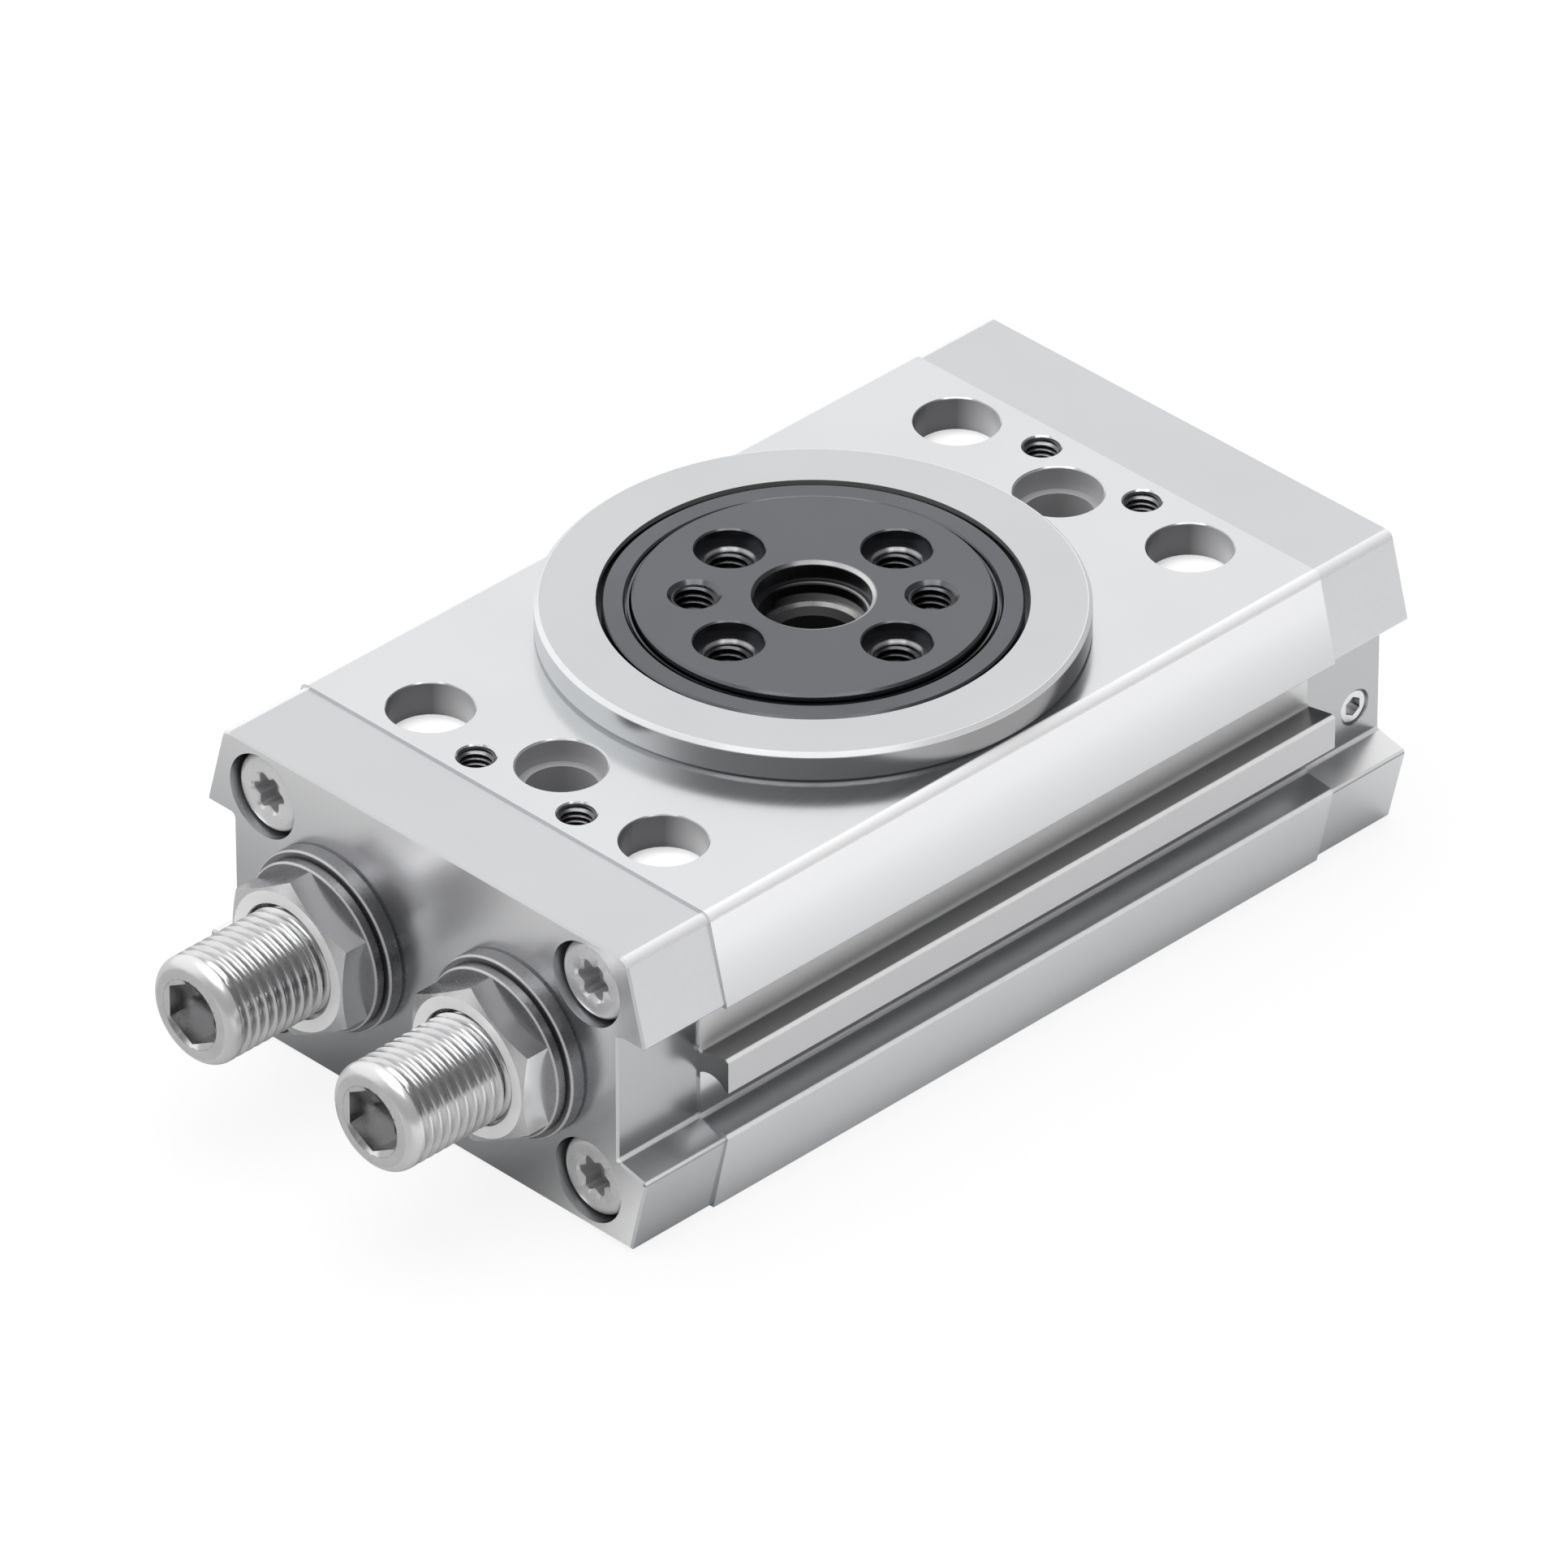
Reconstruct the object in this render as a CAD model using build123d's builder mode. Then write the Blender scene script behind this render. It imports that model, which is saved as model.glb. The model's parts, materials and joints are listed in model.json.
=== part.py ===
from build123d import *
import math
import os

# Semi-rotary drive: two pistons with racks turn a toothed hollow shaft and the flange on it.
# Lengths are in millimetres. Z is the flange axis, the pistons run along Y, the adjusting
# screws stand out towards -Y, and the origin lies on the flange axis at the underside.

# Outline of the extruded housing, seen along Y
height = 44.0
top_half_width = 36.45
flare_half_width = 39.7
band_height = 12.8
neck_half_width = 34.8
ledge_half_width = 39.8
ledge_inner_level = 12.7
ledge_outer_level = 12.1
bottom_half_width = 37.1
rib_half_width = 39.8
rib_top_inner_level = 22.8
rib_top_outer_level = 23.7
rib_bottom_level = 18.7
rib_root_level = 19.5
rib_hollow_level = 20.0
rib_lip_width = 0.5
outer_edge_chamfer = 0.4
inner_corner_fillet = 0.5
top_edge_fillet = 1.2

# Lengths along Y
housing_length = 109.0
cap_thickness = 14.0

# The end caps stand back from the housing's outline all round
cap_inset = 0.35
cap_ledge_drop = 0.55
cap_edge_chamfer = 0.3

# Pistons and their bores
piston_axis_x = 16.25
floor_thickness = 12.0
roof_thickness = 2.0
running_clearance = 0.05
seal_clearance = 0.02
rack_zone_half_length = 22.4
piston_end_chamfer = 0.8
guide_ring_start = 24.9
guide_ring_width = 2.4
guide_ring_depth = 0.8
piston_seal_start = 29.2
piston_seal_width = 2.4
piston_seal_depth = 1.7
magnet_radius = 4.0
magnet_thickness = 3.5

# Rack and pinion
gear_module = 1.0
tooth_count = 18
pressure_angle = 20.0
flank_shares = (0, 0.3, 0.65, 1)
backlash = 0.12
root_clearance_share = 0.25
pinion_face_width = 15.0
half_turn_range = 90.0
shaft_bore_radius = 5.5
shaft_step_height = 0.65
cavity_gap = 0.2

# Lower bearing, its seal and the underside recess
lower_bearing_bore_radius = 7.5
lower_bearing_outer_radius = 12.0
lower_bearing_width = 5.0
lower_bearing_level = 6.0
lower_ball_radius = 1.2
lower_ball_count = 9
underside_recess_radius = 12.5
underside_recess_depth = 2.0
seal_bore_radius = 10.5
circlip_thickness = 1.0
circlip_width = 1.8
circlip_groove_depth = 0.4
shaft_seal_thickness = 2.7
shaft_end_lift = 0.2

# Upper bearing, cover ring and collar
upper_bearing_bore_radius = 20.0
upper_bearing_outer_radius = 26.0
upper_bearing_width = 7.0
upper_bearing_depth = 10.0
upper_ball_radius = 1.75
upper_ball_count = 14
ball_play = 0.05
cage_play = 0.15
race_land_share = 0.63
cage_half_width_share = 0.3
cage_half_height_share = 1.3
bearing_relief_depth = 0.5
bearing_relief_width = 2.2
collar_radius = 35.35
collar_rise = 4.3
collar_spigot_wall = 3.5
collar_chamfer = 0.5
cover_foot_width = 1.5
cover_outer_gap = 0.7
cover_inner_gap = 0.3
cover_ring_rise = 4.1
cover_ring_chamfer = 0.25
cover_lip_width = 0.25
cover_lip_drop = 0.25
cover_groove_width = 0.3
cover_groove_depth = 1.2

# Flange
flange_radius = 23.0
flange_rise = 4.9
flange_shoulder_radius = 21.6
flange_shoulder_height = 0.5
flange_hub_lift = 0.6
flange_edge_chamfer = 0.3
flange_bore_radius = 7.5
flange_bore_depth = 2.8
flange_bore_chamfer = 0.4
flange_throat_radius = 7.0
shaft_spigot_radius = 9.0
flange_throat_length = 2.7
shaft_mouth_chamfer = 1.3
flange_pitch_radius = 15.0
flange_thread_radius = 3.0
flange_thread_depth = 9.0
flange_sleeve_radius = 4.5
flange_sleeve_depth = 2.0
flange_seat_chamfer = 0.2
flange_thread_chamfer = 0.5

# Holes in the housing's top
pocket_radius = 5.6
pocket_depth = 4.8
pocket_x = 20.9
pocket_y = 47.0
small_thread_radius = 2.5
small_thread_depth = 10.0
small_thread_x = 9.0
small_thread_y = 50.5
through_hole_radius = 4.7
through_counterbore_radius = 5.85
through_counterbore_depth = 3.3
through_hole_y = 44.4
top_hole_chamfer = 0.2

# Cap screws
cap_screw_x = 29.1
cap_screw_edge_distance = 7.2
cap_screw_radius = 3.0
cap_screw_passage_radius = 3.3
cap_screw_head_radius = 5.5
cap_screw_head_height = 5.0
cap_screw_recess_radius = 5.9
cap_screw_recess_depth = 5.9
cap_screw_engagement = 11.0
cap_screw_bore_extra = 1.0
cap_screw_socket_radius = 2.8
cap_screw_socket_depth = 2.6

# Spigots, ports and plugs of the caps
cap_spigot_length = 3.0
cap_ring_width = 1.6
cap_ring_depth = 1.2
cap_ring_start = 0.7
port_radius = 4.85
port_depth = 8.0
port_x = 10.0
airway_radius = 1.5
plug_radius = 2.6
plug_length = 5.0
plug_sunk = 0.3
plug_setback = 4.7
plug_level = 18.0
plug_socket_radius = 1.45
plug_socket_depth = 2.0
plug_chamfer = 0.4

# Adjusting screws, lock nuts and washers
spigot_wall = 2.5
screw_protrusion = 16.6
screw_end_chamfer = 1.4
screw_tip_chamfer = 0.6
screw_socket_across_flats = 8.0
screw_socket_depth = 7.0
nut_wall = 2.55
nut_thickness = 4.3
nut_chamfer_angle = 25.0
nut_face_share = 0.97
nut_mouth_chamfer = 0.5
plain_washer_width = 4.25
plain_washer_thickness = 1.65
sealing_washer_width = 5.15
sealing_washer_thickness = 2.35
washer_edge_chamfer = 0.3
buffer_step = 1.25
buffer_thickness = 2.75
buffer_stem_radius = 3.0
buffer_stem_length = 7.0
buffer_edge_fillet = 0.8
buffer_gap = 0.3
buffer_play = 0.1

# How far a cutting shape reaches past what it cuts
cut_margin = 1.0

# Heights and radii that follow from the housing's height and the upper bearing
flare_level = height - band_height
bore_radius = (height - floor_thickness - roof_thickness - upper_bearing_depth) / 2
piston_axis_level = floor_thickness + bore_radius
upper_bearing_level = height - upper_bearing_depth
collar_top_level = height + collar_rise
collar_bore_radius = upper_bearing_outer_radius + cover_foot_width
collar_spigot_radius = collar_bore_radius + collar_spigot_wall
cover_ring_radius = collar_bore_radius - cover_outer_gap
cover_ring_bore_radius = flange_radius + cover_inner_gap
cover_ring_top_level = height + cover_ring_rise
flange_top_level = height + flange_rise
shaft_spigot_top_level = flange_top_level - flange_bore_depth - flange_throat_length
cap_screw_rise = piston_axis_level - cap_screw_edge_distance
screw_hole_radius = bore_radius - spigot_wall
screw_radius = screw_hole_radius - running_clearance
nut_across_flats = 2 * (screw_radius + nut_wall)
plain_washer_radius = screw_radius + plain_washer_width
sealing_washer_radius = screw_radius + sealing_washer_width
buffer_radius = screw_radius - buffer_step

# Other levels and lengths that follow from the driving sizes
housing_half = housing_length / 2
cap_face = housing_half + cap_thickness
pitch_radius = gear_module * tooth_count / 2
tip_radius = pitch_radius + gear_module
root_radius = pitch_radius - gear_module * (1 + root_clearance_share)
base_radius = pitch_radius * math.cos(math.radians(pressure_angle))
stroke = pitch_radius * math.radians(half_turn_range)
cavity_radius = lower_bearing_outer_radius + cavity_gap
lower_bearing_top = lower_bearing_level + lower_bearing_width
upper_bearing_top = upper_bearing_level + upper_bearing_width
pinion_bottom = piston_axis_level - pinion_face_width / 2
pinion_top = piston_axis_level + pinion_face_width / 2
flange_bottom = upper_bearing_level + flange_hub_lift
nut_front = cap_face + sealing_washer_thickness + plain_washer_thickness + nut_thickness
screw_front = nut_front + screw_protrusion
screw_tip = housing_half - cap_spigot_length
buffer_back = screw_tip - buffer_play
buffer_face = buffer_back - buffer_thickness
piston_half_length = buffer_face - buffer_gap - stroke
piston_radius = bore_radius - running_clearance

# Planes that look at the two end faces from outside, and the plane that holds turned profiles
front_end = Plane.XZ
rear_end = Plane(origin=(0, 0, 0), x_dir=(-1, 0, 0), z_dir=(0, 1, 0))


def near_corners(shapes, corners):
    """The vertices that lie on one of the given half outline corners, on either side."""
    return shapes.vertices().filter_by(
        lambda v: any(abs(abs(v.X) - x) < 0.02 and abs(v.Y - z) < 0.02 for x, z in corners)
    )


def round_edges(part, radius, level):
    """The round edges of one radius that lie flat at one level."""
    return part.edges().filter_by(
        lambda e: e.geom_type == GeomType.CIRCLE
        and abs(e.radius - radius) < 0.001
        and abs(e.center().Z - level) < 0.001
    )


def body_outline(inset, ledge_drop, with_rib):
    """Sketch of the drive's section, wide at top and bottom with a recessed neck between.

    The rib on the neck is hollow underneath, so that a round switch clips in below it.
    """
    top = (top_half_width - inset, height - inset)
    flare = (flare_half_width - inset, flare_level + inset)
    neck_top = (neck_half_width - inset, flare_level + inset)
    rib_inner = (neck_half_width, rib_top_inner_level)
    rib_outer = (rib_half_width, rib_top_outer_level)
    rib_edge = (rib_half_width, rib_bottom_level)
    rib_lip = (rib_half_width - rib_lip_width, rib_bottom_level)
    rib_hollow = ((neck_half_width + rib_half_width) / 2, rib_hollow_level)
    rib_root = (neck_half_width, rib_root_level)
    neck_bottom = (neck_half_width - inset, ledge_inner_level)
    ledge = (ledge_half_width - inset, ledge_outer_level - ledge_drop)
    bottom = (bottom_half_width - inset, inset)
    above = [(0, top[1]), top, flare, neck_top]
    below = [neck_bottom, ledge, bottom, (0, inset), (0, top[1])]
    with BuildSketch() as outline:
        with BuildLine():
            if with_rib:
                Polyline(*above, rib_inner, rib_outer, rib_edge, rib_lip)
                ThreePointArc(rib_lip, rib_hollow, rib_root)
                Polyline(rib_root, *below)
            else:
                Polyline(*above, *below)
        make_face()
        mirror(about=Plane.YZ)
        fillet(near_corners(outline, [neck_top, neck_bottom, rib_inner]), inner_corner_fillet)
        chamfer(near_corners(outline, [ledge, rib_outer]), outer_edge_chamfer)
        fillet(near_corners(outline, [flare]), outer_edge_chamfer)
        fillet(near_corners(outline, [top]), top_edge_fillet)
    return outline.sketch


def ring(inner, outer, low, high):
    """Sketch of a plain ring's section, radius along X and height along Y."""
    with BuildSketch() as section:
        with BuildLine():
            Polyline((inner, low), (outer, low), (outer, high), (inner, high), close=True)
        make_face()
    return section.sketch


def piston_pair(outer, inner=0):
    """Sketch of a disc or ring on each piston axis, seen along Y."""
    with BuildSketch() as pair:
        with Locations((-piston_axis_x, piston_axis_level), (piston_axis_x, piston_axis_level)):
            Circle(outer)
            if inner:
                Circle(inner, mode=Mode.SUBTRACT)
    return pair.sketch


def one_ring(side, outer, inner=0):
    """Sketch of a disc or ring on one piston axis, seen along -Y with X to the right."""
    with BuildSketch() as single:
        with Locations((side * piston_axis_x, piston_axis_level)):
            Circle(outer)
            if inner:
                Circle(inner, mode=Mode.SUBTRACT)
    return single.sketch


def screw_discs(radius):
    """Sketch of the four cap screws' sections."""
    with BuildSketch() as discs:
        with Locations((0, piston_axis_level)):
            with GridLocations(2 * cap_screw_x, 2 * cap_screw_rise, 2, 2):
                Circle(radius)
    return discs.sketch


def screw_sockets(radius):
    """Sketch of the four cap screws' sockets."""
    with BuildSketch() as sockets:
        with Locations((0, piston_axis_level)):
            with GridLocations(2 * cap_screw_x, 2 * cap_screw_rise, 2, 2):
                RegularPolygon(radius, 6)
    return sockets.sketch


def save(part, name):
    """Names a finished piece and writes it to its own file."""
    part.label = name
    export_step(part, f"parts/{name}.step")
    return part


os.makedirs("parts", exist_ok=True)

# Housing: the extruded body with two piston bores, the pinion's cavity and the bearing seats
with BuildPart() as housing:
    with BuildSketch(front_end):
        add(body_outline(0, 0, True))
    extrude(amount=housing_half, both=True)
    with BuildSketch(front_end):
        add(piston_pair(bore_radius))
    extrude(amount=housing_half, both=True, mode=Mode.SUBTRACT)
    relief_radius = upper_bearing_outer_radius - bearing_relief_width
    relief_level = upper_bearing_level - bearing_relief_depth
    with BuildSketch(front_end):
        with BuildLine():
            Polyline(
                (0, 0),
                (underside_recess_radius, 0),
                (underside_recess_radius, underside_recess_depth),
                (seal_bore_radius, underside_recess_depth),
                (seal_bore_radius, lower_bearing_level),
                (lower_bearing_outer_radius, lower_bearing_level),
                (lower_bearing_outer_radius, lower_bearing_top),
                (cavity_radius, lower_bearing_top),
                (cavity_radius, relief_level),
                (relief_radius, relief_level),
                (relief_radius, upper_bearing_level),
                (upper_bearing_outer_radius, upper_bearing_level),
                (upper_bearing_outer_radius, upper_bearing_top),
                (collar_spigot_radius, upper_bearing_top),
                (collar_spigot_radius, height),
                (0, height),
                close=True,
            )
        make_face()
    revolve(axis=Axis.Z, mode=Mode.SUBTRACT)
    with Locations(Plane.XY.offset(height)):
        with GridLocations(2 * pocket_x, 2 * pocket_y, 2, 2):
            Hole(pocket_radius, pocket_depth)
        with GridLocations(2 * small_thread_x, 2 * small_thread_y, 2, 2):
            Hole(small_thread_radius, small_thread_depth)
        with GridLocations(1, 2 * through_hole_y, 1, 2):
            CounterBoreHole(through_hole_radius, through_counterbore_radius, through_counterbore_depth)
    for hole_radius in (pocket_radius, small_thread_radius, through_counterbore_radius):
        chamfer(round_edges(housing, hole_radius, height), top_hole_chamfer)
    for end in (front_end.offset(housing_half), rear_end.offset(housing_half)):
        with Locations(end):
            with Locations((0, piston_axis_level)):
                with GridLocations(2 * cap_screw_x, 2 * cap_screw_rise, 2, 2):
                    Hole(cap_screw_radius, cap_screw_engagement + cap_screw_bore_extra)
save(housing.part, "housing")


def cap_body(end):
    """One end cap without its own holes, seen from outside on the given end plane."""
    with BuildPart() as cap:
        with BuildSketch(end.offset(housing_half)):
            add(body_outline(cap_inset, cap_ledge_drop, False))
        extrude(amount=cap_thickness)
        outer_face = cap.faces().sort_by(Axis((0, 0, 0), end.z_dir))[-1]
        chamfer(outer_face.outer_wire().edges(), cap_edge_chamfer)
        with BuildSketch(end.offset(housing_half - cap_spigot_length)):
            add(piston_pair(piston_radius))
        extrude(amount=cap_spigot_length)
        with BuildSketch(end.offset(housing_half - cap_spigot_length + cap_ring_start)):
            add(piston_pair(bore_radius, piston_radius - cap_ring_depth))
        extrude(amount=cap_ring_width, mode=Mode.SUBTRACT)
        with Locations(end.offset(cap_face)):
            with Locations((0, piston_axis_level)):
                with GridLocations(2 * cap_screw_x, 2 * cap_screw_rise, 2, 2):
                    CounterBoreHole(
                        cap_screw_passage_radius, cap_screw_recess_radius, cap_screw_recess_depth
                    )
    return cap.part


# Front cap: carries the two adjusting screws
with BuildPart() as front_cap:
    add(cap_body(front_end))
    with Locations(front_end.offset(cap_face)):
        with Locations((-piston_axis_x, piston_axis_level), (piston_axis_x, piston_axis_level)):
            Hole(screw_hole_radius)
save(front_cap.part, "front_cap")

# Rear cap: carries the two air ports and, on each side of the neck, a plugged cross port
cap_neck_half_width = neck_half_width - cap_inset
plug_y = cap_face - plug_setback
with BuildPart() as rear_cap:
    add(cap_body(rear_end))
    with Locations(rear_end.offset(cap_face)):
        with Locations((-port_x, piston_axis_level), (port_x, piston_axis_level)):
            CounterBoreHole(airway_radius, port_radius, port_depth)
    for side in (-1, 1):
        side_plane = Plane(origin=(side * cap_neck_half_width, plug_y, plug_level), z_dir=(side, 0, 0))
        with Locations(side_plane):
            Hole(plug_radius, plug_length + plug_sunk)
save(rear_cap.part, "rear_cap")

# Blanking plugs in the rear cap's cross ports
with BuildPart() as port_plugs:
    for side in (-1, 1):
        plug_face = side * (cap_neck_half_width - plug_sunk)
        plug_plane = Plane(origin=(plug_face, plug_y, plug_level), z_dir=(side, 0, 0))
        with BuildSketch(plug_plane):
            Circle(plug_radius)
        extrude(amount=-plug_length)
        plug_rim = port_plugs.edges().filter_by(GeomType.CIRCLE).group_by(Axis.X)[0 if side < 0 else -1]
        chamfer(plug_rim, plug_chamfer)
        with BuildSketch(plug_plane):
            RegularPolygon(plug_socket_radius, 6)
        extrude(amount=-plug_socket_depth, mode=Mode.SUBTRACT)
save(port_plugs.part, "port_plugs")


def cap_screw_group(end):
    """The four socket screws that hold one cap."""
    recess_floor = cap_face - cap_screw_recess_depth
    shank_end = housing_half - cap_screw_engagement
    with BuildPart() as screws:
        with BuildSketch(end.offset(shank_end)):
            add(screw_discs(cap_screw_radius))
        extrude(amount=recess_floor - shank_end)
        with BuildSketch(end.offset(recess_floor)):
            add(screw_discs(cap_screw_head_radius))
        extrude(amount=cap_screw_head_height)
        with BuildSketch(end.offset(recess_floor + cap_screw_head_height)):
            add(screw_sockets(cap_screw_socket_radius))
        extrude(amount=-cap_screw_socket_depth, mode=Mode.SUBTRACT)
    return screws.part


save(cap_screw_group(front_end), "front_cap_screws")
save(cap_screw_group(rear_end), "rear_cap_screws")


def cap_sealing_rings(end):
    """The two round rings in the grooves of one cap's spigots."""
    with BuildPart() as rings:
        with BuildSketch(end.offset(housing_half - cap_spigot_length + cap_ring_start)):
            add(piston_pair(bore_radius, piston_radius - cap_ring_depth))
        extrude(amount=cap_ring_width)
    return rings.part


save(cap_sealing_rings(front_end), "front_cap_sealing_rings")
save(cap_sealing_rings(rear_end), "rear_cap_sealing_rings")

# Centring collar: the light ring on the housing's top, with a spigot in the housing
with BuildPart() as centring_collar:
    with BuildSketch(front_end):
        with BuildLine():
            Polyline(
                (collar_bore_radius, upper_bearing_top),
                (collar_spigot_radius, upper_bearing_top),
                (collar_spigot_radius, height),
                (collar_radius - collar_chamfer, height),
                (collar_radius, height + collar_chamfer),
                (collar_radius, collar_top_level - collar_chamfer),
                (collar_radius - collar_chamfer, collar_top_level),
                (collar_bore_radius, collar_top_level),
                close=True,
            )
        make_face()
    revolve(axis=Axis.Z)
save(centring_collar.part, "centring_collar")

# Bearing cover ring: the dark ring round the flange, which holds down the upper bearing. A thin lip
# at its bore leaves a narrow gap to the flange, and a groove behind the lip catches dirt.
with BuildPart() as bearing_cover_ring:
    lip_radius = cover_ring_bore_radius + cover_lip_width
    groove_outer_radius = lip_radius + cover_groove_width
    lip_level = cover_ring_top_level - cover_lip_drop
    groove_floor = cover_ring_top_level - cover_groove_depth
    with BuildSketch(front_end):
        with BuildLine():
            Polyline(
                (cover_ring_bore_radius, upper_bearing_top),
                (collar_bore_radius, upper_bearing_top),
                (collar_bore_radius, height),
                (cover_ring_radius, height),
                (cover_ring_radius, cover_ring_top_level),
                (groove_outer_radius, cover_ring_top_level),
                (groove_outer_radius, groove_floor),
                (lip_radius, groove_floor),
                (lip_radius, lip_level),
                (cover_ring_bore_radius, lip_level),
                close=True,
            )
        make_face()
    revolve(axis=Axis.Z)
    chamfer(bearing_cover_ring.edges().group_by(Axis.Z)[-1], cover_ring_chamfer)
save(bearing_cover_ring.part, "bearing_cover_ring")

# Drive flange: disc and hub, with a centring bore and the ring of fastening holes
with BuildPart() as drive_flange:
    groove_level = flange_top_level - flange_bore_depth
    shoulder_top = upper_bearing_top + flange_shoulder_height
    with BuildSketch(front_end):
        with BuildLine():
            Polyline(
                (shaft_spigot_radius, flange_bottom),
                (upper_bearing_bore_radius, flange_bottom),
                (upper_bearing_bore_radius, upper_bearing_top),
                (flange_shoulder_radius, upper_bearing_top),
                (flange_shoulder_radius, shoulder_top),
                (flange_radius, shoulder_top),
                (flange_radius, flange_top_level - flange_edge_chamfer),
                (flange_radius - flange_edge_chamfer, flange_top_level),
                (flange_bore_radius + flange_bore_chamfer, flange_top_level),
                (flange_bore_radius, flange_top_level - flange_bore_chamfer),
                (flange_bore_radius, groove_level),
                (flange_throat_radius, groove_level),
                (flange_throat_radius, shaft_spigot_top_level),
                (shaft_spigot_radius, shaft_spigot_top_level),
                close=True,
            )
        make_face()
    revolve(axis=Axis.Z)
    with Locations(Plane.XY.offset(flange_top_level)):
        with PolarLocations(flange_pitch_radius, 4):
            CounterBoreHole(
                flange_thread_radius, flange_sleeve_radius, flange_sleeve_depth, flange_thread_depth
            )
        with PolarLocations(flange_pitch_radius, 2, start_angle=45):
            Hole(flange_thread_radius, flange_thread_depth)
    seat_rims = round_edges(drive_flange, flange_sleeve_radius, flange_top_level)
    chamfer(seat_rims, flange_seat_chamfer)
    plain_rims = round_edges(drive_flange, flange_thread_radius, flange_top_level)
    chamfer(plain_rims, flange_thread_chamfer)
    seat_level = flange_top_level - flange_sleeve_depth
    inner_rims = round_edges(drive_flange, flange_thread_radius, seat_level)
    chamfer(inner_rims, flange_thread_chamfer)
save(drive_flange.part, "drive_flange")


def pinion_outline():
    """Sketch of the pinion with involute flanks, one tooth centred on +X."""
    tooth_half_angle = (math.pi * gear_module / 2 - backlash / 2) / 2 / pitch_radius
    pitch_roll = math.tan(math.radians(pressure_angle)) - math.radians(pressure_angle)
    flank_radii = [base_radius + (tip_radius - base_radius) * share for share in flank_shares]
    flank = []
    for radius in flank_radii:
        roll_angle = math.acos(base_radius / radius)
        half_angle = tooth_half_angle + pitch_roll - (math.tan(roll_angle) - roll_angle)
        flank.append((radius * math.cos(half_angle), radius * math.sin(half_angle)))
    root_half_angle = tooth_half_angle + pitch_roll
    root_point = (root_radius * math.cos(root_half_angle), root_radius * math.sin(root_half_angle))
    inner_radius = root_radius - gear_module
    inner_point = (inner_radius * math.cos(root_half_angle), inner_radius * math.sin(root_half_angle))
    with BuildSketch() as outline:
        Circle(root_radius)
        with BuildSketch(mode=Mode.PRIVATE) as tooth:
            with BuildLine():
                Line((inner_radius, 0), inner_point)
                Line(inner_point, root_point)
                Line(root_point, flank[0])
                Spline(*flank)
                ThreePointArc(flank[-1], (tip_radius, 0), (flank[-1][0], -flank[-1][1]))
                Spline(*[(x, -y) for x, y in reversed(flank)])
                Line((flank[0][0], -flank[0][1]), (root_point[0], -root_point[1]))
                Line((root_point[0], -root_point[1]), (inner_point[0], -inner_point[1]))
                Line((inner_point[0], -inner_point[1]), (inner_radius, 0))
            make_face()
        with PolarLocations(0, tooth_count):
            add(tooth.sketch)
    return outline.sketch


# Pinion shaft: hollow steel shaft with the pinion cut on it, pressed into the flange from below
with BuildPart() as pinion_shaft:
    shaft_bottom = underside_recess_depth + shaft_end_lift
    clip_groove_low = lower_bearing_level - circlip_thickness
    groove_radius = lower_bearing_bore_radius - circlip_groove_depth
    shaft_step_radius = root_radius + shaft_step_height
    with BuildSketch(front_end):
        with BuildLine():
            Polyline(
                (shaft_bore_radius, shaft_bottom),
                (lower_bearing_bore_radius, shaft_bottom),
                (lower_bearing_bore_radius, clip_groove_low),
                (groove_radius, clip_groove_low),
                (groove_radius, lower_bearing_level),
                (lower_bearing_bore_radius, lower_bearing_level),
                (lower_bearing_bore_radius, lower_bearing_top),
                (shaft_step_radius, lower_bearing_top),
                (shaft_step_radius, pinion_bottom),
                (root_radius, pinion_bottom),
                (root_radius, pinion_top),
                (shaft_spigot_radius, pinion_top),
                (shaft_spigot_radius, shaft_spigot_top_level),
                (shaft_bore_radius + shaft_mouth_chamfer, shaft_spigot_top_level),
                (shaft_bore_radius, shaft_spigot_top_level - shaft_mouth_chamfer),
                close=True,
            )
        make_face()
    revolve(axis=Axis.Z)
    with BuildSketch(Plane.XY.offset(pinion_bottom)):
        add(pinion_outline())
        Circle(root_radius - gear_module / 2, mode=Mode.SUBTRACT)
    extrude(amount=pinion_face_width)
save(pinion_shaft.part, "pinion_shaft")


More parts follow.
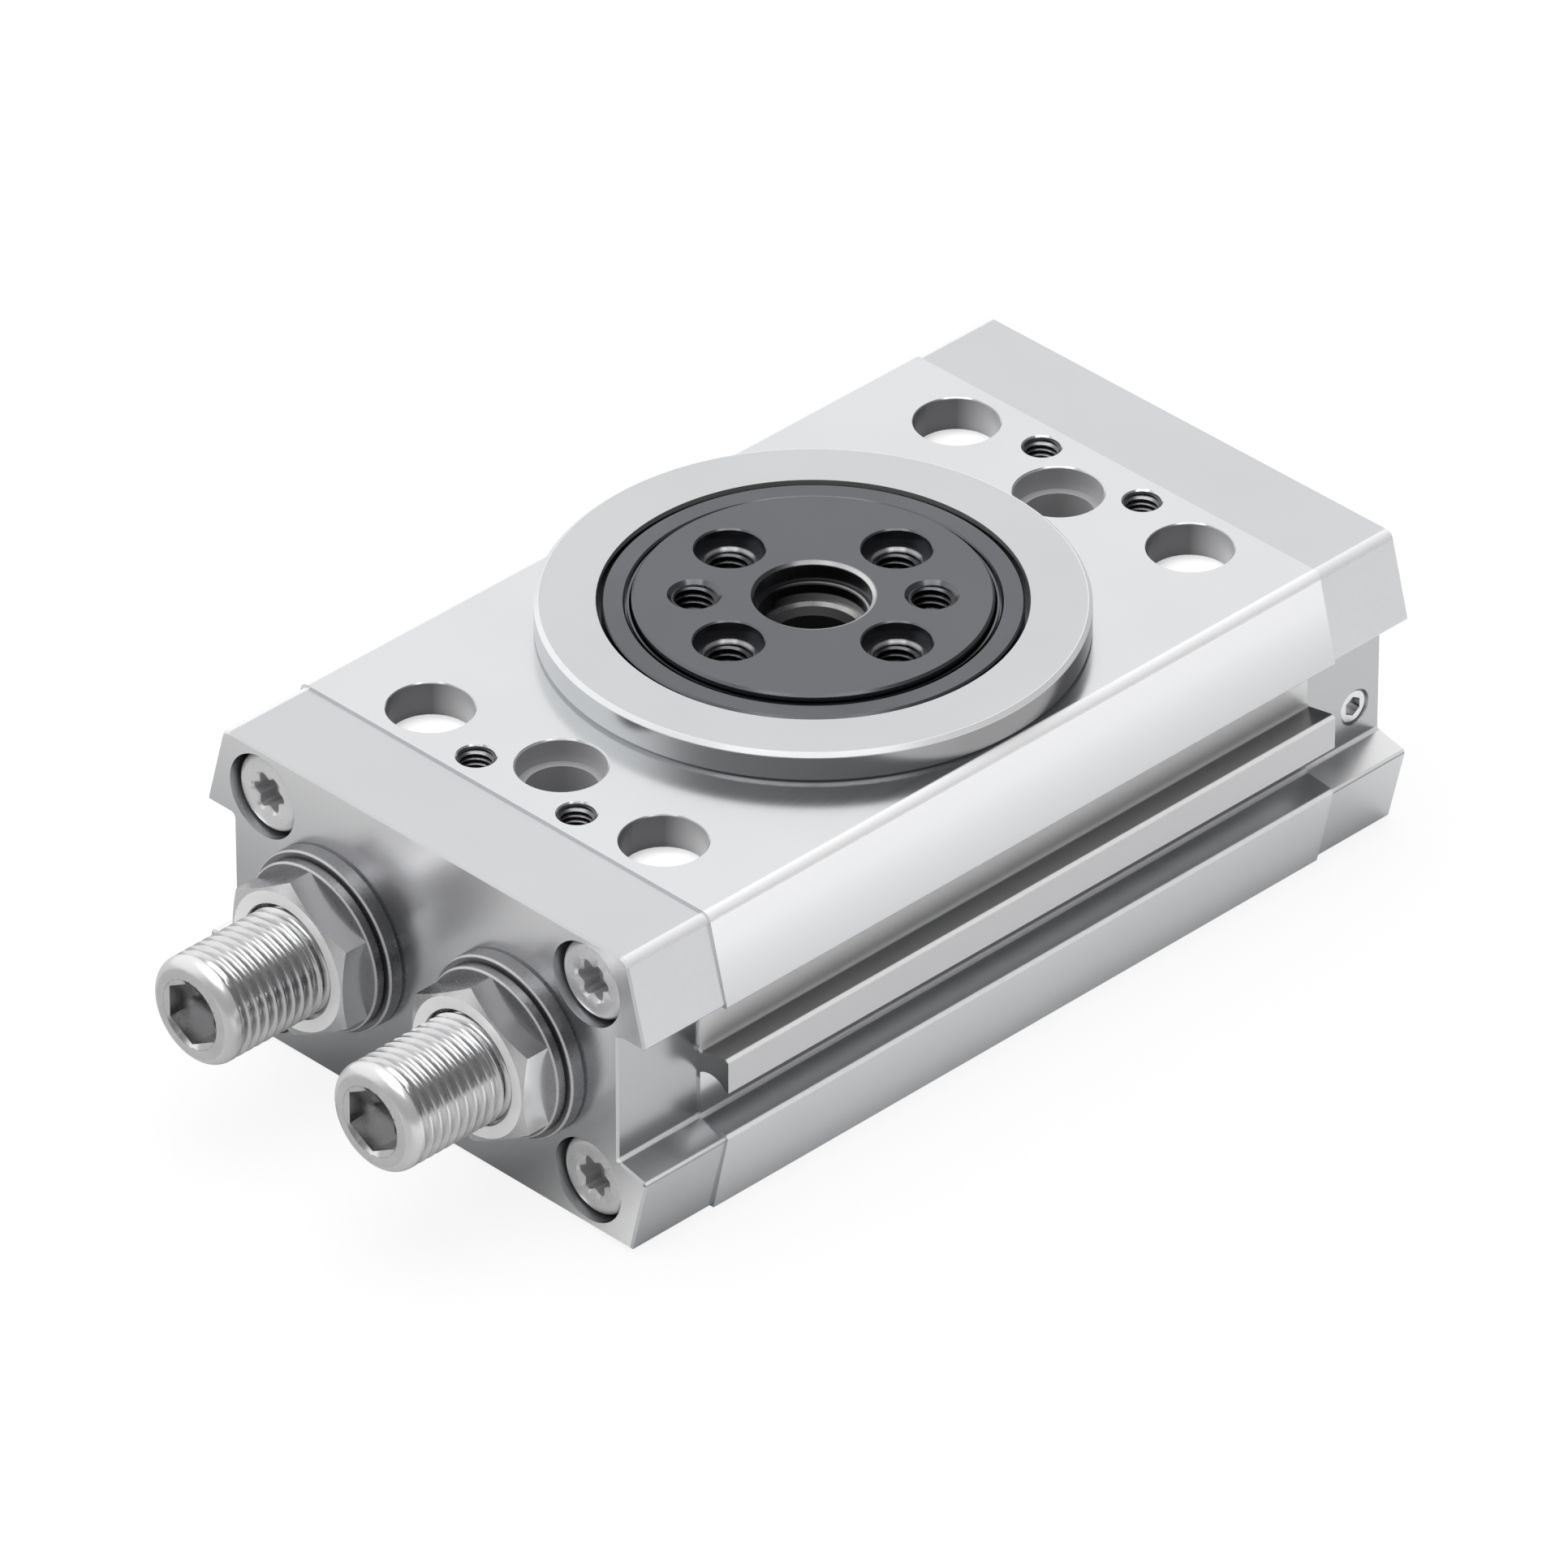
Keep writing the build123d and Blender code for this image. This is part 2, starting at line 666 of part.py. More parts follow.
def ball_bearing(name, bore, outer, level, width, ball_radius, ball_count):
    """Inner ring, outer ring, cage and balls of one deep groove bearing on the flange axis."""
    ball_circle = (bore + outer) / 2
    middle = level + width / 2
    land = ball_radius * race_land_share
    inner_land = ball_circle - land
    outer_land = ball_circle + land
    cage_half_width = ball_radius * cage_half_width_share
    cage_half_height = ball_radius * cage_half_height_share
    groove_radius = ball_radius + ball_play
    with BuildPart() as inner_ring:
        with BuildSketch(front_end):
            add(ring(bore, inner_land, level, level + width))
            with Locations((ball_circle, middle)):
                Circle(groove_radius, mode=Mode.SUBTRACT)
        revolve(axis=Axis.Z)
    with BuildPart() as outer_ring:
        with BuildSketch(front_end):
            add(ring(outer_land, outer, level, level + width))
            with Locations((ball_circle, middle)):
                Circle(groove_radius, mode=Mode.SUBTRACT)
        revolve(axis=Axis.Z)
    with BuildPart() as cage:
        with BuildSketch(front_end):
            add(
                ring(
                    ball_circle - cage_half_width,
                    ball_circle + cage_half_width,
                    middle - cage_half_height,
                    middle + cage_half_height,
                )
            )
        revolve(axis=Axis.Z)
        with Locations(Plane.XY.offset(middle)):
            with PolarLocations(ball_circle, ball_count):
                Cylinder(ball_radius + cage_play, ball_radius, rotation=(0, 90, 0), mode=Mode.SUBTRACT)
    with BuildPart() as balls:
        with Locations(Plane.XY.offset(middle)):
            with PolarLocations(ball_circle, ball_count):
                Sphere(ball_radius)
    save(inner_ring.part, f"{name}_bearing_inner_ring")
    save(outer_ring.part, f"{name}_bearing_outer_ring")
    save(cage.part, f"{name}_bearing_cage")
    save(balls.part, f"{name}_bearing_balls")


ball_bearing(
    "upper",
    upper_bearing_bore_radius,
    upper_bearing_outer_radius,
    upper_bearing_level,
    upper_bearing_width,
    upper_ball_radius,
    upper_ball_count,
)
ball_bearing(
    "lower",
    lower_bearing_bore_radius,
    lower_bearing_outer_radius,
    lower_bearing_level,
    lower_bearing_width,
    lower_ball_radius,
    lower_ball_count,
)

# Circlip under the lower bearing, open towards -Y
with BuildPart() as shaft_circlip:
    with BuildSketch(Plane.XY.offset(lower_bearing_level - circlip_thickness)):
        Circle(lower_bearing_bore_radius - circlip_groove_depth + circlip_width)
        Circle(lower_bearing_bore_radius - circlip_groove_depth, mode=Mode.SUBTRACT)
        with Locations((0, -lower_bearing_bore_radius)):
            Rectangle(lower_bearing_bore_radius / 2, lower_bearing_bore_radius, mode=Mode.SUBTRACT)
    extrude(amount=circlip_thickness)
save(shaft_circlip.part, "shaft_circlip")

# Shaft seal that closes the underside round the hollow shaft
with BuildPart() as shaft_seal:
    seal_low = underside_recess_depth
    with BuildSketch(front_end):
        add(
            ring(
                lower_bearing_bore_radius + running_clearance,
                seal_bore_radius,
                seal_low,
                seal_low + shaft_seal_thickness,
            )
        )
    revolve(axis=Axis.Z)
save(shaft_seal.part, "shaft_seal")


def rack_cut_outline():
    """Sketch of what the rack loses from the piston's inner side, a gap centred on the pinion."""
    tip_offset = pitch_radius - gear_module
    root_offset = pitch_radius + gear_module * (1 + root_clearance_share)
    tooth_pitch = math.pi * gear_module
    slope = math.tan(math.radians(pressure_angle))
    gap_half_at_pitch = tooth_pitch / 4 + backlash / 4
    gap_half_at_tip = gap_half_at_pitch + slope * gear_module
    gap_half_at_root = gap_half_at_pitch - slope * gear_module * (1 + root_clearance_share)
    gap_count = 2 * int((rack_zone_half_length - gap_half_at_tip) / tooth_pitch) + 1
    outside = piston_axis_x - piston_radius - cut_margin
    with BuildSketch() as cut:
        with BuildLine():
            Polyline(
                (outside, -rack_zone_half_length),
                (tip_offset, -rack_zone_half_length),
                (tip_offset, rack_zone_half_length),
                (outside, rack_zone_half_length),
                close=True,
            )
        make_face()
        with BuildSketch(mode=Mode.PRIVATE) as gap:
            with BuildLine():
                Polyline(
                    (outside, -gap_half_at_tip),
                    (tip_offset, -gap_half_at_tip),
                    (root_offset, -gap_half_at_root),
                    (root_offset, gap_half_at_root),
                    (tip_offset, gap_half_at_tip),
                    (outside, gap_half_at_tip),
                    close=True,
                )
            make_face()
        with GridLocations(1, tooth_pitch, 1, gap_count):
            add(gap.sketch)
    return cut.sketch


piston_ring_starts = (
    guide_ring_start,
    -guide_ring_start - guide_ring_width,
)
piston_seal_starts = (
    piston_seal_start,
    -piston_seal_start - piston_seal_width,
)


def piston_rings(side, starts, width, depth, clearance):
    """A pair of rings in the grooves of one piston."""
    with BuildPart() as rings:
        for start in starts:
            with BuildSketch(front_end.offset(-start)):
                add(one_ring(side, bore_radius - clearance, piston_radius - depth))
            extrude(amount=-width)
    return rings.part


def piston_groove_section(width, depth, starts):
    """Sketch of the ring grooves, radius along X from the piston's own axis and length along Y."""
    with BuildSketch() as grooves:
        for start in starts:
            with BuildLine():
                Polyline(
                    (piston_radius - depth, start),
                    (piston_radius + cut_margin, start),
                    (piston_radius + cut_margin, start + width),
                    (piston_radius - depth, start + width),
                    close=True,
                )
            make_face()
    return grooves.sketch


def piston_body(side):
    """One piston: round heads with ring grooves, and between them the rack facing the pinion."""
    turning_axis = Axis((side * piston_axis_x, 0, piston_axis_level), (0, 1, 0))
    turning_plane = Plane(origin=(side * piston_axis_x, 0, piston_axis_level), z_dir=(0, 0, 1))
    with BuildPart() as piston:
        with BuildSketch(front_end):
            add(one_ring(side, piston_radius))
        extrude(amount=piston_half_length, both=True)
        chamfer(piston.edges().filter_by(GeomType.CIRCLE), piston_end_chamfer)
        with BuildSketch(turning_plane):
            add(piston_groove_section(guide_ring_width, guide_ring_depth, piston_ring_starts))
            add(piston_groove_section(piston_seal_width, piston_seal_depth, piston_seal_starts))
        revolve(axis=turning_axis, mode=Mode.SUBTRACT)
        with Locations(rear_end.offset(piston_half_length)):
            with Locations((-side * piston_axis_x, piston_axis_level)):
                Hole(magnet_radius, magnet_thickness)
        with BuildSketch(Plane.XY.offset(piston_axis_level)):
            add(rack_cut_outline() if side > 0 else rack_cut_outline().mirror(Plane.YZ))
        extrude(amount=bore_radius + cut_margin, both=True, mode=Mode.SUBTRACT)
    return piston.part


def piston_magnet(side):
    """The round magnet in one piston's rear face, which the switches in the side channels sense."""
    with BuildPart() as magnet:
        with BuildSketch(front_end.offset(-piston_half_length)):
            add(one_ring(side, magnet_radius))
        extrude(amount=magnet_thickness)
    return magnet.part


def adjusting_screw(side):
    """One stop screw: threaded sleeve with a key socket in front and a stem hole at its tip."""
    with BuildPart() as screw:
        with BuildSketch(front_end.offset(screw_tip)):
            add(one_ring(side, screw_radius))
        extrude(amount=screw_front - screw_tip)
        chamfer(screw.edges().filter_by(GeomType.CIRCLE).sort_by(Axis.Y)[0], screw_end_chamfer)
        chamfer(screw.edges().filter_by(GeomType.CIRCLE).sort_by(Axis.Y)[-1], screw_tip_chamfer)
        with BuildSketch(front_end.offset(screw_front)):
            with Locations((side * piston_axis_x, piston_axis_level)):
                RegularPolygon(screw_socket_across_flats / 2, 6, major_radius=False, rotation=30)
        extrude(amount=-screw_socket_depth, mode=Mode.SUBTRACT)
        with BuildSketch(front_end.offset(screw_tip)):
            add(one_ring(side, buffer_stem_radius + running_clearance))
        extrude(amount=buffer_stem_length + buffer_play, mode=Mode.SUBTRACT)
    return screw.part


def stop_buffer(side):
    """One elastic buffer: a round head that meets the piston and a stem in the screw's tip."""
    with BuildPart() as stop:
        with BuildSketch(front_end.offset(buffer_face)):
            add(one_ring(side, buffer_radius))
        extrude(amount=buffer_thickness)
        fillet(stop.edges().filter_by(GeomType.CIRCLE).sort_by(Axis.Y)[-1], buffer_edge_fillet)
        with BuildSketch(front_end.offset(buffer_back)):
            add(one_ring(side, buffer_stem_radius))
        extrude(amount=buffer_stem_length)
    return stop.part


def washer(side, start, thickness, radius):
    """One flat ring round an adjusting screw, from the given distance in front of the flange axis."""
    with BuildPart() as flat_ring:
        with BuildSketch(front_end.offset(start)):
            add(one_ring(side, radius, screw_hole_radius))
        extrude(amount=thickness)
        rims = flat_ring.edges().filter_by(GeomType.CIRCLE)
        chamfer(rims.filter_by(lambda e: e.radius > radius - 0.01), washer_edge_chamfer)
    return flat_ring.part


def lock_nut(side):
    """One hexagon nut, its front corners turned off to a shallow cone."""
    nut_back = nut_front - nut_thickness
    corner_radius = nut_across_flats / math.sqrt(3)
    face_radius = nut_face_share * nut_across_flats / 2
    cone_drop = (corner_radius - face_radius) * math.tan(math.radians(nut_chamfer_angle))
    nut_axis = Axis((side * piston_axis_x, 0, piston_axis_level), (0, 1, 0))
    turning_plane = Plane(origin=(side * piston_axis_x, 0, piston_axis_level), z_dir=(0, 0, 1))
    with BuildPart() as nut:
        with BuildSketch(front_end.offset(nut_back)):
            with Locations((side * piston_axis_x, piston_axis_level)):
                RegularPolygon(nut_across_flats / 2, 6, major_radius=False, rotation=30)
                Circle(screw_hole_radius, mode=Mode.SUBTRACT)
        extrude(amount=nut_thickness)
        with BuildSketch(turning_plane):
            with BuildLine():
                Polyline(
                    (0, -nut_back),
                    (corner_radius, -nut_back),
                    (corner_radius, -nut_front + cone_drop),
                    (face_radius, -nut_front),
                    (0, -nut_front),
                    close=True,
                )
            make_face()
        revolve(axis=nut_axis, mode=Mode.INTERSECT)
        rims = nut.edges().filter_by(GeomType.CIRCLE)
        mouth = rims.filter_by(lambda e: e.radius < screw_hole_radius + 0.01).sort_by(Axis.Y)[0]
        chamfer(mouth, nut_mouth_chamfer)
    return nut.part


for side, side_name in ((-1, "left"), (1, "right")):
    save(piston_body(side), f"{side_name}_piston")
    guide_rings = piston_rings(side, piston_ring_starts, guide_ring_width, guide_ring_depth, seal_clearance)
    save(guide_rings, f"{side_name}_piston_guide_rings")
    seals = piston_rings(side, piston_seal_starts, piston_seal_width, piston_seal_depth, seal_clearance)
    save(seals, f"{side_name}_piston_seals")
    save(piston_magnet(side), f"{side_name}_piston_magnet")
    save(adjusting_screw(side), f"{side_name}_adjusting_screw")
    save(stop_buffer(side), f"{side_name}_stop_buffer")
    thick_washer = washer(side, cap_face, sealing_washer_thickness, sealing_washer_radius)
    save(thick_washer, f"{side_name}_sealing_washer")
    thin_washer = washer(
        side, cap_face + sealing_washer_thickness, plain_washer_thickness, plain_washer_radius
    )
    save(thin_washer, f"{side_name}_plain_washer")
    save(lock_nut(side), f"{side_name}_lock_nut")

print("piston stroke either way", round(stroke, 3))
print("overall length", round(screw_front + cap_face, 2))
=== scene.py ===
# %% [markdown]
# # A semi-rotary drive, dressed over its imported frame
# The real thing is a flat aluminium body with two pistons inside. They push racks against a toothed
# shaft, and the shaft turns the dark steel flange on top. The solids already have the right shape and
# place, so this lesson gives them their finishes and adds what is too fine for them: screw threads, star
# sockets and tool marks.

import json
import math

import bmesh
import bpy
from mathutils import Matrix, Vector


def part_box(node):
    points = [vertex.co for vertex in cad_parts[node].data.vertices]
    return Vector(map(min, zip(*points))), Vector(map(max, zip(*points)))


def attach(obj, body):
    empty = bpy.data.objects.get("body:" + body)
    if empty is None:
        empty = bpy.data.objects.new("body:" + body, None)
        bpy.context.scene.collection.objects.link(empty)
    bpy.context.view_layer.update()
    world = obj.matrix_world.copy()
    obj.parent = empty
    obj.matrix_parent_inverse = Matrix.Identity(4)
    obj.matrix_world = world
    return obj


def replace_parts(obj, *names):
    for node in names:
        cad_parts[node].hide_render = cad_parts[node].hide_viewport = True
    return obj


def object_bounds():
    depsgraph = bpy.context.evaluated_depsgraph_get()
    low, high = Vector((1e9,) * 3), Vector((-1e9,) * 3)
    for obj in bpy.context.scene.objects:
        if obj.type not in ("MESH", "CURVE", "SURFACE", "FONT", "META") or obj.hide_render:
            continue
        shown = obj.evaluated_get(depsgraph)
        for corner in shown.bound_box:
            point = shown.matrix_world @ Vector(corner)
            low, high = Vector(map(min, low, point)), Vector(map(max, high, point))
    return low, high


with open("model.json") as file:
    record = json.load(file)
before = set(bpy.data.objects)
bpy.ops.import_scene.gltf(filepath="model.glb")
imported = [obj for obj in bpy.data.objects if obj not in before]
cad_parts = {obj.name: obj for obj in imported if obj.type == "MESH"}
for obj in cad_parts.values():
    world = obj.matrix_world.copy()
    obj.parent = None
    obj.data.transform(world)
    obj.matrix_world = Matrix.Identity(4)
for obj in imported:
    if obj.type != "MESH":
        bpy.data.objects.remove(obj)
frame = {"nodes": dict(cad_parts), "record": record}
frame_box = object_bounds()
nodes = frame["nodes"]
MM = 0.001
MICRON = 0.000001
print(len(nodes), "solids, whole box", [[round(c / MM, 1) for c in corner] for corner in frame_box])

# %% [markdown]
# ## Helpers that build a material one node at a time
# Every finish below is made of nodes, so that its grain has a real size in millimetres. Most of the work
# is plain arithmetic on a place: how far is this point from an edge, which way does this face look? One
# helper for numbers, one for vectors and one that maps a range keep that arithmetic readable.

# %% Arithmetic helpers
def feed(tree, socket, value):
    """Puts a number, a vector or the output of another node into a socket."""
    if isinstance(value, bpy.types.NodeSocket):
        tree.links.new(value, socket)
    else:
        socket.default_value = value


def number_math(tree, operation, first, second):
    """The result of an operation on two numbers."""
    node = tree.nodes.new("ShaderNodeMath")
    node.operation = operation
    feed(tree, node.inputs[0], first)
    feed(tree, node.inputs[1], second)
    return node.outputs["Value"]


def vector_math(tree, operation, first, second=None):
    """The result of an operation on vectors: a number for lengths, distances and dot products."""
    node = tree.nodes.new("ShaderNodeVectorMath")
    node.operation = operation
    feed(tree, node.inputs[0], first)
    if second is not None:
        feed(tree, node.inputs[1], second)
    gives_number = operation in ("LENGTH", "DISTANCE", "DOT_PRODUCT")
    return node.outputs["Value" if gives_number else "Vector"]


def remap(tree, value, from_low, from_high, to_low=0.0, to_high=1.0, curve="LINEAR"):
    """The value's range from_low to from_high, mapped to to_low to to_high and held there at both ends."""
    node = tree.nodes.new("ShaderNodeMapRange")
    node.interpolation_type = curve
    node.inputs["From Min"].default_value = from_low
    node.inputs["From Max"].default_value = from_high
    node.inputs["To Min"].default_value = to_low
    node.inputs["To Max"].default_value = to_high
    tree.links.new(value, node.inputs["Value"])
    return node.outputs["Result"]


print("arithmetic helpers ready")

# %% [markdown]
# ## Helpers for patterns
# Object coordinates are the same as the frame's own, because each solid sits at the origin. A noise stays
# mostly in its middle range, from about 0.3 to 0.7, so that range is what gets spread over two
# roughnesses or two colours.

# %% Pattern helpers
NOISE_LOW, NOISE_HIGH = 0.3, 0.7


def start_material(name):
    """A new node material, with its tree, its main shader and its object coordinates."""
    material = bpy.data.materials.new(name)
    material.use_nodes = True
    tree = material.node_tree
    shader = tree.nodes["Principled BSDF"]
    coordinates = tree.nodes.new("ShaderNodeTexCoord")
    return material, tree, shader, coordinates.outputs["Object"]


def stretched(tree, vector, scale):
    """The coordinates, stretched by a scale for each axis."""
    mapping = tree.nodes.new("ShaderNodeMapping")
    mapping.inputs["Scale"].default_value = scale
    tree.links.new(vector, mapping.inputs["Vector"])
    return mapping.outputs["Vector"]


def noise(tree, vector, waves, detail):
    """A noise pattern with that many waves to the metre."""
    texture = tree.nodes.new("ShaderNodeTexNoise")
    texture.inputs["Scale"].default_value = waves
    texture.inputs["Detail"].default_value = detail
    tree.links.new(vector, texture.inputs["Vector"])
    return texture.outputs["Fac"]


def spread(tree, pattern, low, high):
    """The pattern's middle part, spread from low to high."""
    return remap(tree, pattern, NOISE_LOW, NOISE_HIGH, low, high)


def between(tree, pattern, dark, light):
    """A colour between two, picked by the pattern."""
    ramp = tree.nodes.new("ShaderNodeValToRGB")
    for element, colour, position in zip(ramp.color_ramp.elements, (dark, light), (NOISE_LOW, NOISE_HIGH)):
        element.color = (*colour, 1.0)
        element.position = position
    tree.links.new(pattern, ramp.inputs["Fac"])
    return ramp.outputs["Color"]


def relief(tree, shader, pattern, microns):
    """Fine relief of that depth, as bump."""
    bump = tree.nodes.new("ShaderNodeBump")
    bump.inputs["Strength"].default_value = 1.0
    bump.inputs["Distance"].default_value = microns * MICRON
    tree.links.new(pattern, bump.inputs["Height"])
    tree.links.new(bump.outputs["Normal"], shader.inputs["Normal"])


print("pattern helpers ready")

# %% [markdown]
# ## Satin anodised aluminium
# The body is an extrusion that was blasted and anodised: a pale metal with fine grain, and faint die
# lines along its length. A metal shader with a low roughness gives the soft reflections, one noise gives
# the grain, and a second noise, stretched along Y, gives the die lines. The caps are cut from bar, so
# their lines run along X. A picture of metal could be wrapped on instead, but it would have no true scale
# and would smear on the bands.

# %% Aluminium finishes
ALONG_X, ALONG_Y = 0, 1


def satin_aluminium(name, dark, light, roughness, lines_along, microns):
    """Anodised aluminium with fine grain and faint lines along one axis."""
    material, tree, shader, place = start_material(name)
    line_scale = [1.0, 1.0, 1.0]
    line_scale[lines_along] = 0.02
    lines = noise(tree, stretched(tree, place, line_scale), 1500, 4)
    grain = noise(tree, place, 5200, 2)
    clouds = noise(tree, place, 45, 2)
    tree.links.new(between(tree, clouds, dark, light), shader.inputs["Base Color"])
    tree.links.new(spread(tree, lines, roughness - 0.02, roughness + 0.02), shader.inputs["Roughness"])
    relief(tree, shader, number_math(tree, "ADD", lines, grain), microns)
    shader.inputs["Metallic"].default_value = 1.0
    return material


housing_finish = satin_aluminium(
    "housing_satin", (0.675, 0.685, 0.698), (0.695, 0.705, 0.718), 0.20, ALONG_Y, 0.3)
cap_finish = satin_aluminium(
    "cap_satin", (0.575, 0.585, 0.600), (0.595, 0.605, 0.620), 0.25, ALONG_X, 0.4)
print("aluminium:", housing_finish.name, cap_finish.name)

# %% [markdown]
# ## Masks by place
# One studio can't give every face the brightness that a retouched photograph gives it. So light and shade are
# painted on some faces and edges: a second shader, laid over the finish by a mask. A mask is a number from 0
# to 1 that the nodes work out from a point's place. The drive is the same on its left and right side, and
# mostly at its front and rear, so the masks near a line or a rim take the coordinates without their signs and
# serve both sides at once.

# %% Masks by place
def near_line(tree, place, axes, point, inner, outer):
    """1 near a straight line and 0 away from it. The axes that the line runs along count as 0."""
    mirrored = vector_math(tree, "ABSOLUTE", place)
    flat = vector_math(tree, "MULTIPLY", mirrored, axes)
    away = vector_math(tree, "DISTANCE", flat, point)
    return remap(tree, away, inner, outer, 1.0, 0.0)


def rising(tree, place, direction, low, high):
    """A value that grows from 0 to 1 between two distances along a direction."""
    return remap(tree, vector_math(tree, "DOT_PRODUCT", place, direction), low, high)


def near_rim(tree, place, centre, axis, rim, inner, outer):
    """1 near a round rim, given by its radius about an axis and its level along it, and 0 away from it."""
    mirrored = vector_math(tree, "ABSOLUTE", place)
    offset = vector_math(tree, "SUBTRACT", mirrored, centre)
    level = vector_math(tree, "DOT_PRODUCT", offset, axis)
    across = vector_math(tree, "MULTIPLY", offset, [1 - part for part in axis])
    spot = tree.nodes.new("ShaderNodeCombineXYZ")
    tree.links.new(vector_math(tree, "LENGTH", across), spot.inputs["X"])
    tree.links.new(level, spot.inputs["Y"])
    away = vector_math(tree, "DISTANCE", spot.outputs["Vector"], (*rim, 0))
    return remap(tree, away, inner, outer, 1.0, 0.0)


print("masks by place ready")

# %% [markdown]
# ## Masks by direction, and laying painted light and shade over a finish
# The way a face looks tells a flat top from a wall. Two masks multiplied keep what lies in both, and the
# largest of several keeps what lies in any. Painted light and shade come as a shader of their own, mixed over
# the finish by the mask, so the finish stays as it was everywhere else.

# %% Masks by direction and the mix
UP = (0, 0, 1)
TOWARDS_FRONT = (0, -1, 0)
TOWARDS_RIGHT = (1, 0, 0)


def facing(tree, direction, low=0.90, high=0.96):
    """1 on faces that look along a direction and 0 on others."""
    geometry = tree.nodes.new("ShaderNodeNewGeometry")
    return rising(tree, geometry.outputs["Normal"], direction, low, high)


def product(tree, first, second):
    """What lies in both masks."""
    return number_math(tree, "MULTIPLY", first, second)


def largest(tree, masks):
    """What lies in any of the masks."""
    result = masks[0]
    for mask in masks[1:]:
        result = number_math(tree, "MAXIMUM", result, mask)
    return result


def lay_painted_shading(material, mask, colour, roughness, metallic):
    """Lays painted light and shade, as a second shader, over a material where the mask is 1."""
    tree = material.node_tree
    output = tree.nodes["Material Output"]
    under = output.inputs["Surface"].links[0].from_socket
    shader = tree.nodes.new("ShaderNodeBsdfPrincipled")
    shader.inputs["Base Color"].default_value = (*colour, 1)
    shader.inputs["Roughness"].default_value = roughness
    shader.inputs["Metallic"].default_value = metallic
    mix = tree.nodes.new("ShaderNodeMixShader")
    tree.links.new(mask, mix.inputs["Fac"])
    tree.links.new(under, mix.inputs[1])
    tree.links.new(shader.outputs["BSDF"], mix.inputs[2])
    tree.links.new(mix.outputs["Shader"], output.inputs["Surface"])


def tree_and_place(material):
    """A finished material's tree and its object coordinates."""
    return material.node_tree, material.node_tree.nodes["Texture Coordinate"].outputs["Object"]


def edge_highlight_mask(material, corners, inner, outer):
    """A mask for painted highlights along edges of the section, each given by its X and Z in millimetres."""
    tree, place = tree_and_place(material)
    return largest(tree, [
        near_line(tree, place, (1, 0, 1), (x * MM, 0, z * MM), inner * MM, outer * MM) for x, z in corners])


print("masks by direction ready")

# %% [markdown]
# ## The housing's sides
# Seen along its length, the body has a slanted band at the top, a recessed neck with a rib on it, and a ledge
# at the foot. Light and shade are painted on them: the band runs from painted light at the top to painted
# shade below, the neck is painted almost white, and the rib's face and its front end are painted darker. The
# neck's mask counts height only a little, which makes it tall and thin, like the wall that it covers.

# %% Bands, rib and neck
side_x = 40.0 * MM
top_level = 44.0 * MM
rib_level = 21.0 * MM
neck_x, neck_middle, neck_tallness = 34.8 * MM, 27.0 * MM, 0.04

tree, place = tree_and_place(housing_finish)
flat_tops = facing(tree, UP)
band = near_line(tree, place, (1, 0, 0), (side_x, 0, 0), 3.7 * MM, 3.8 * MM)
band_high_painted_light = product(tree, band, near_line(tree, place, UP, (0, 0, top_level), 0, 13 * MM))
band_low_painted_shade = product(tree, band, near_line(tree, place, UP, (0, 0, 30.5 * MM), 0, 9 * MM))
# Painted light on the band's upper part, painted shade on its lower part.
lay_painted_shading(housing_finish, band_high_painted_light, (0.80, 0.80, 0.81), 0.20, 1.0)
lay_painted_shading(housing_finish, band_low_painted_shade, (0.55, 0.56, 0.57), 0.20, 1.0)

# Painted shade on the rib's face and, darker still, on its front end.
rib_face_painted_shade = near_line(tree, place, (1, 0, 1), (side_x, 0, rib_level), 2.4 * MM, 2.6 * MM)
lay_painted_shading(housing_finish, rib_face_painted_shade, (0.50, 0.50, 0.51), 0.20, 1.0)
rib_section = near_line(tree, place, (1, 0, 1), (37.4 * MM, 0, rib_level), 3.6 * MM, 3.8 * MM)
rib_end_painted_shade = product(tree, rib_section, facing(tree, TOWARDS_FRONT))
lay_painted_shading(housing_finish, rib_end_painted_shade, (0.25, 0.25, 0.25), 0.30, 1.0)

# Painted light: the neck wall is painted almost white.
neck_painted_light = near_line(tree, place, (1, 0, neck_tallness), (neck_x, 0, neck_middle * neck_tallness),
                      0.16 * MM, 0.20 * MM)
lay_painted_shading(housing_finish, neck_painted_light, (1.0, 1.0, 1.0), 0.30, 0.15)
print("bands, rib and neck laid over", housing_finish.name)

# %% [markdown]
# ## The housing's ledges and edges
# The flat tops of the rib and the foot are painted in a half shade. Along the edges the metal was broken by a
# fine bevel, and a thin light line is painted along each as a highlight. Each line is a mask round an edge of
# the section, so it runs the whole length.

# %% Ledges and edges
# Painted shade on the flat tops of the rib and the foot.
rib_top_painted_shade = product(tree, flat_tops, near_line(tree, place, UP, (0, 0, 23.2 * MM), 1.5 * MM, 1.7 * MM))
lay_painted_shading(housing_finish, rib_top_painted_shade, (0.31, 0.31, 0.315), 0.28, 1.0)
ledge = product(tree, flat_tops, near_line(tree, place, UP, (0, 0, 12.4 * MM), 1.5 * MM, 1.7 * MM))
lay_painted_shading(housing_finish, ledge, (0.54, 0.54, 0.545), 0.28, 1.0)

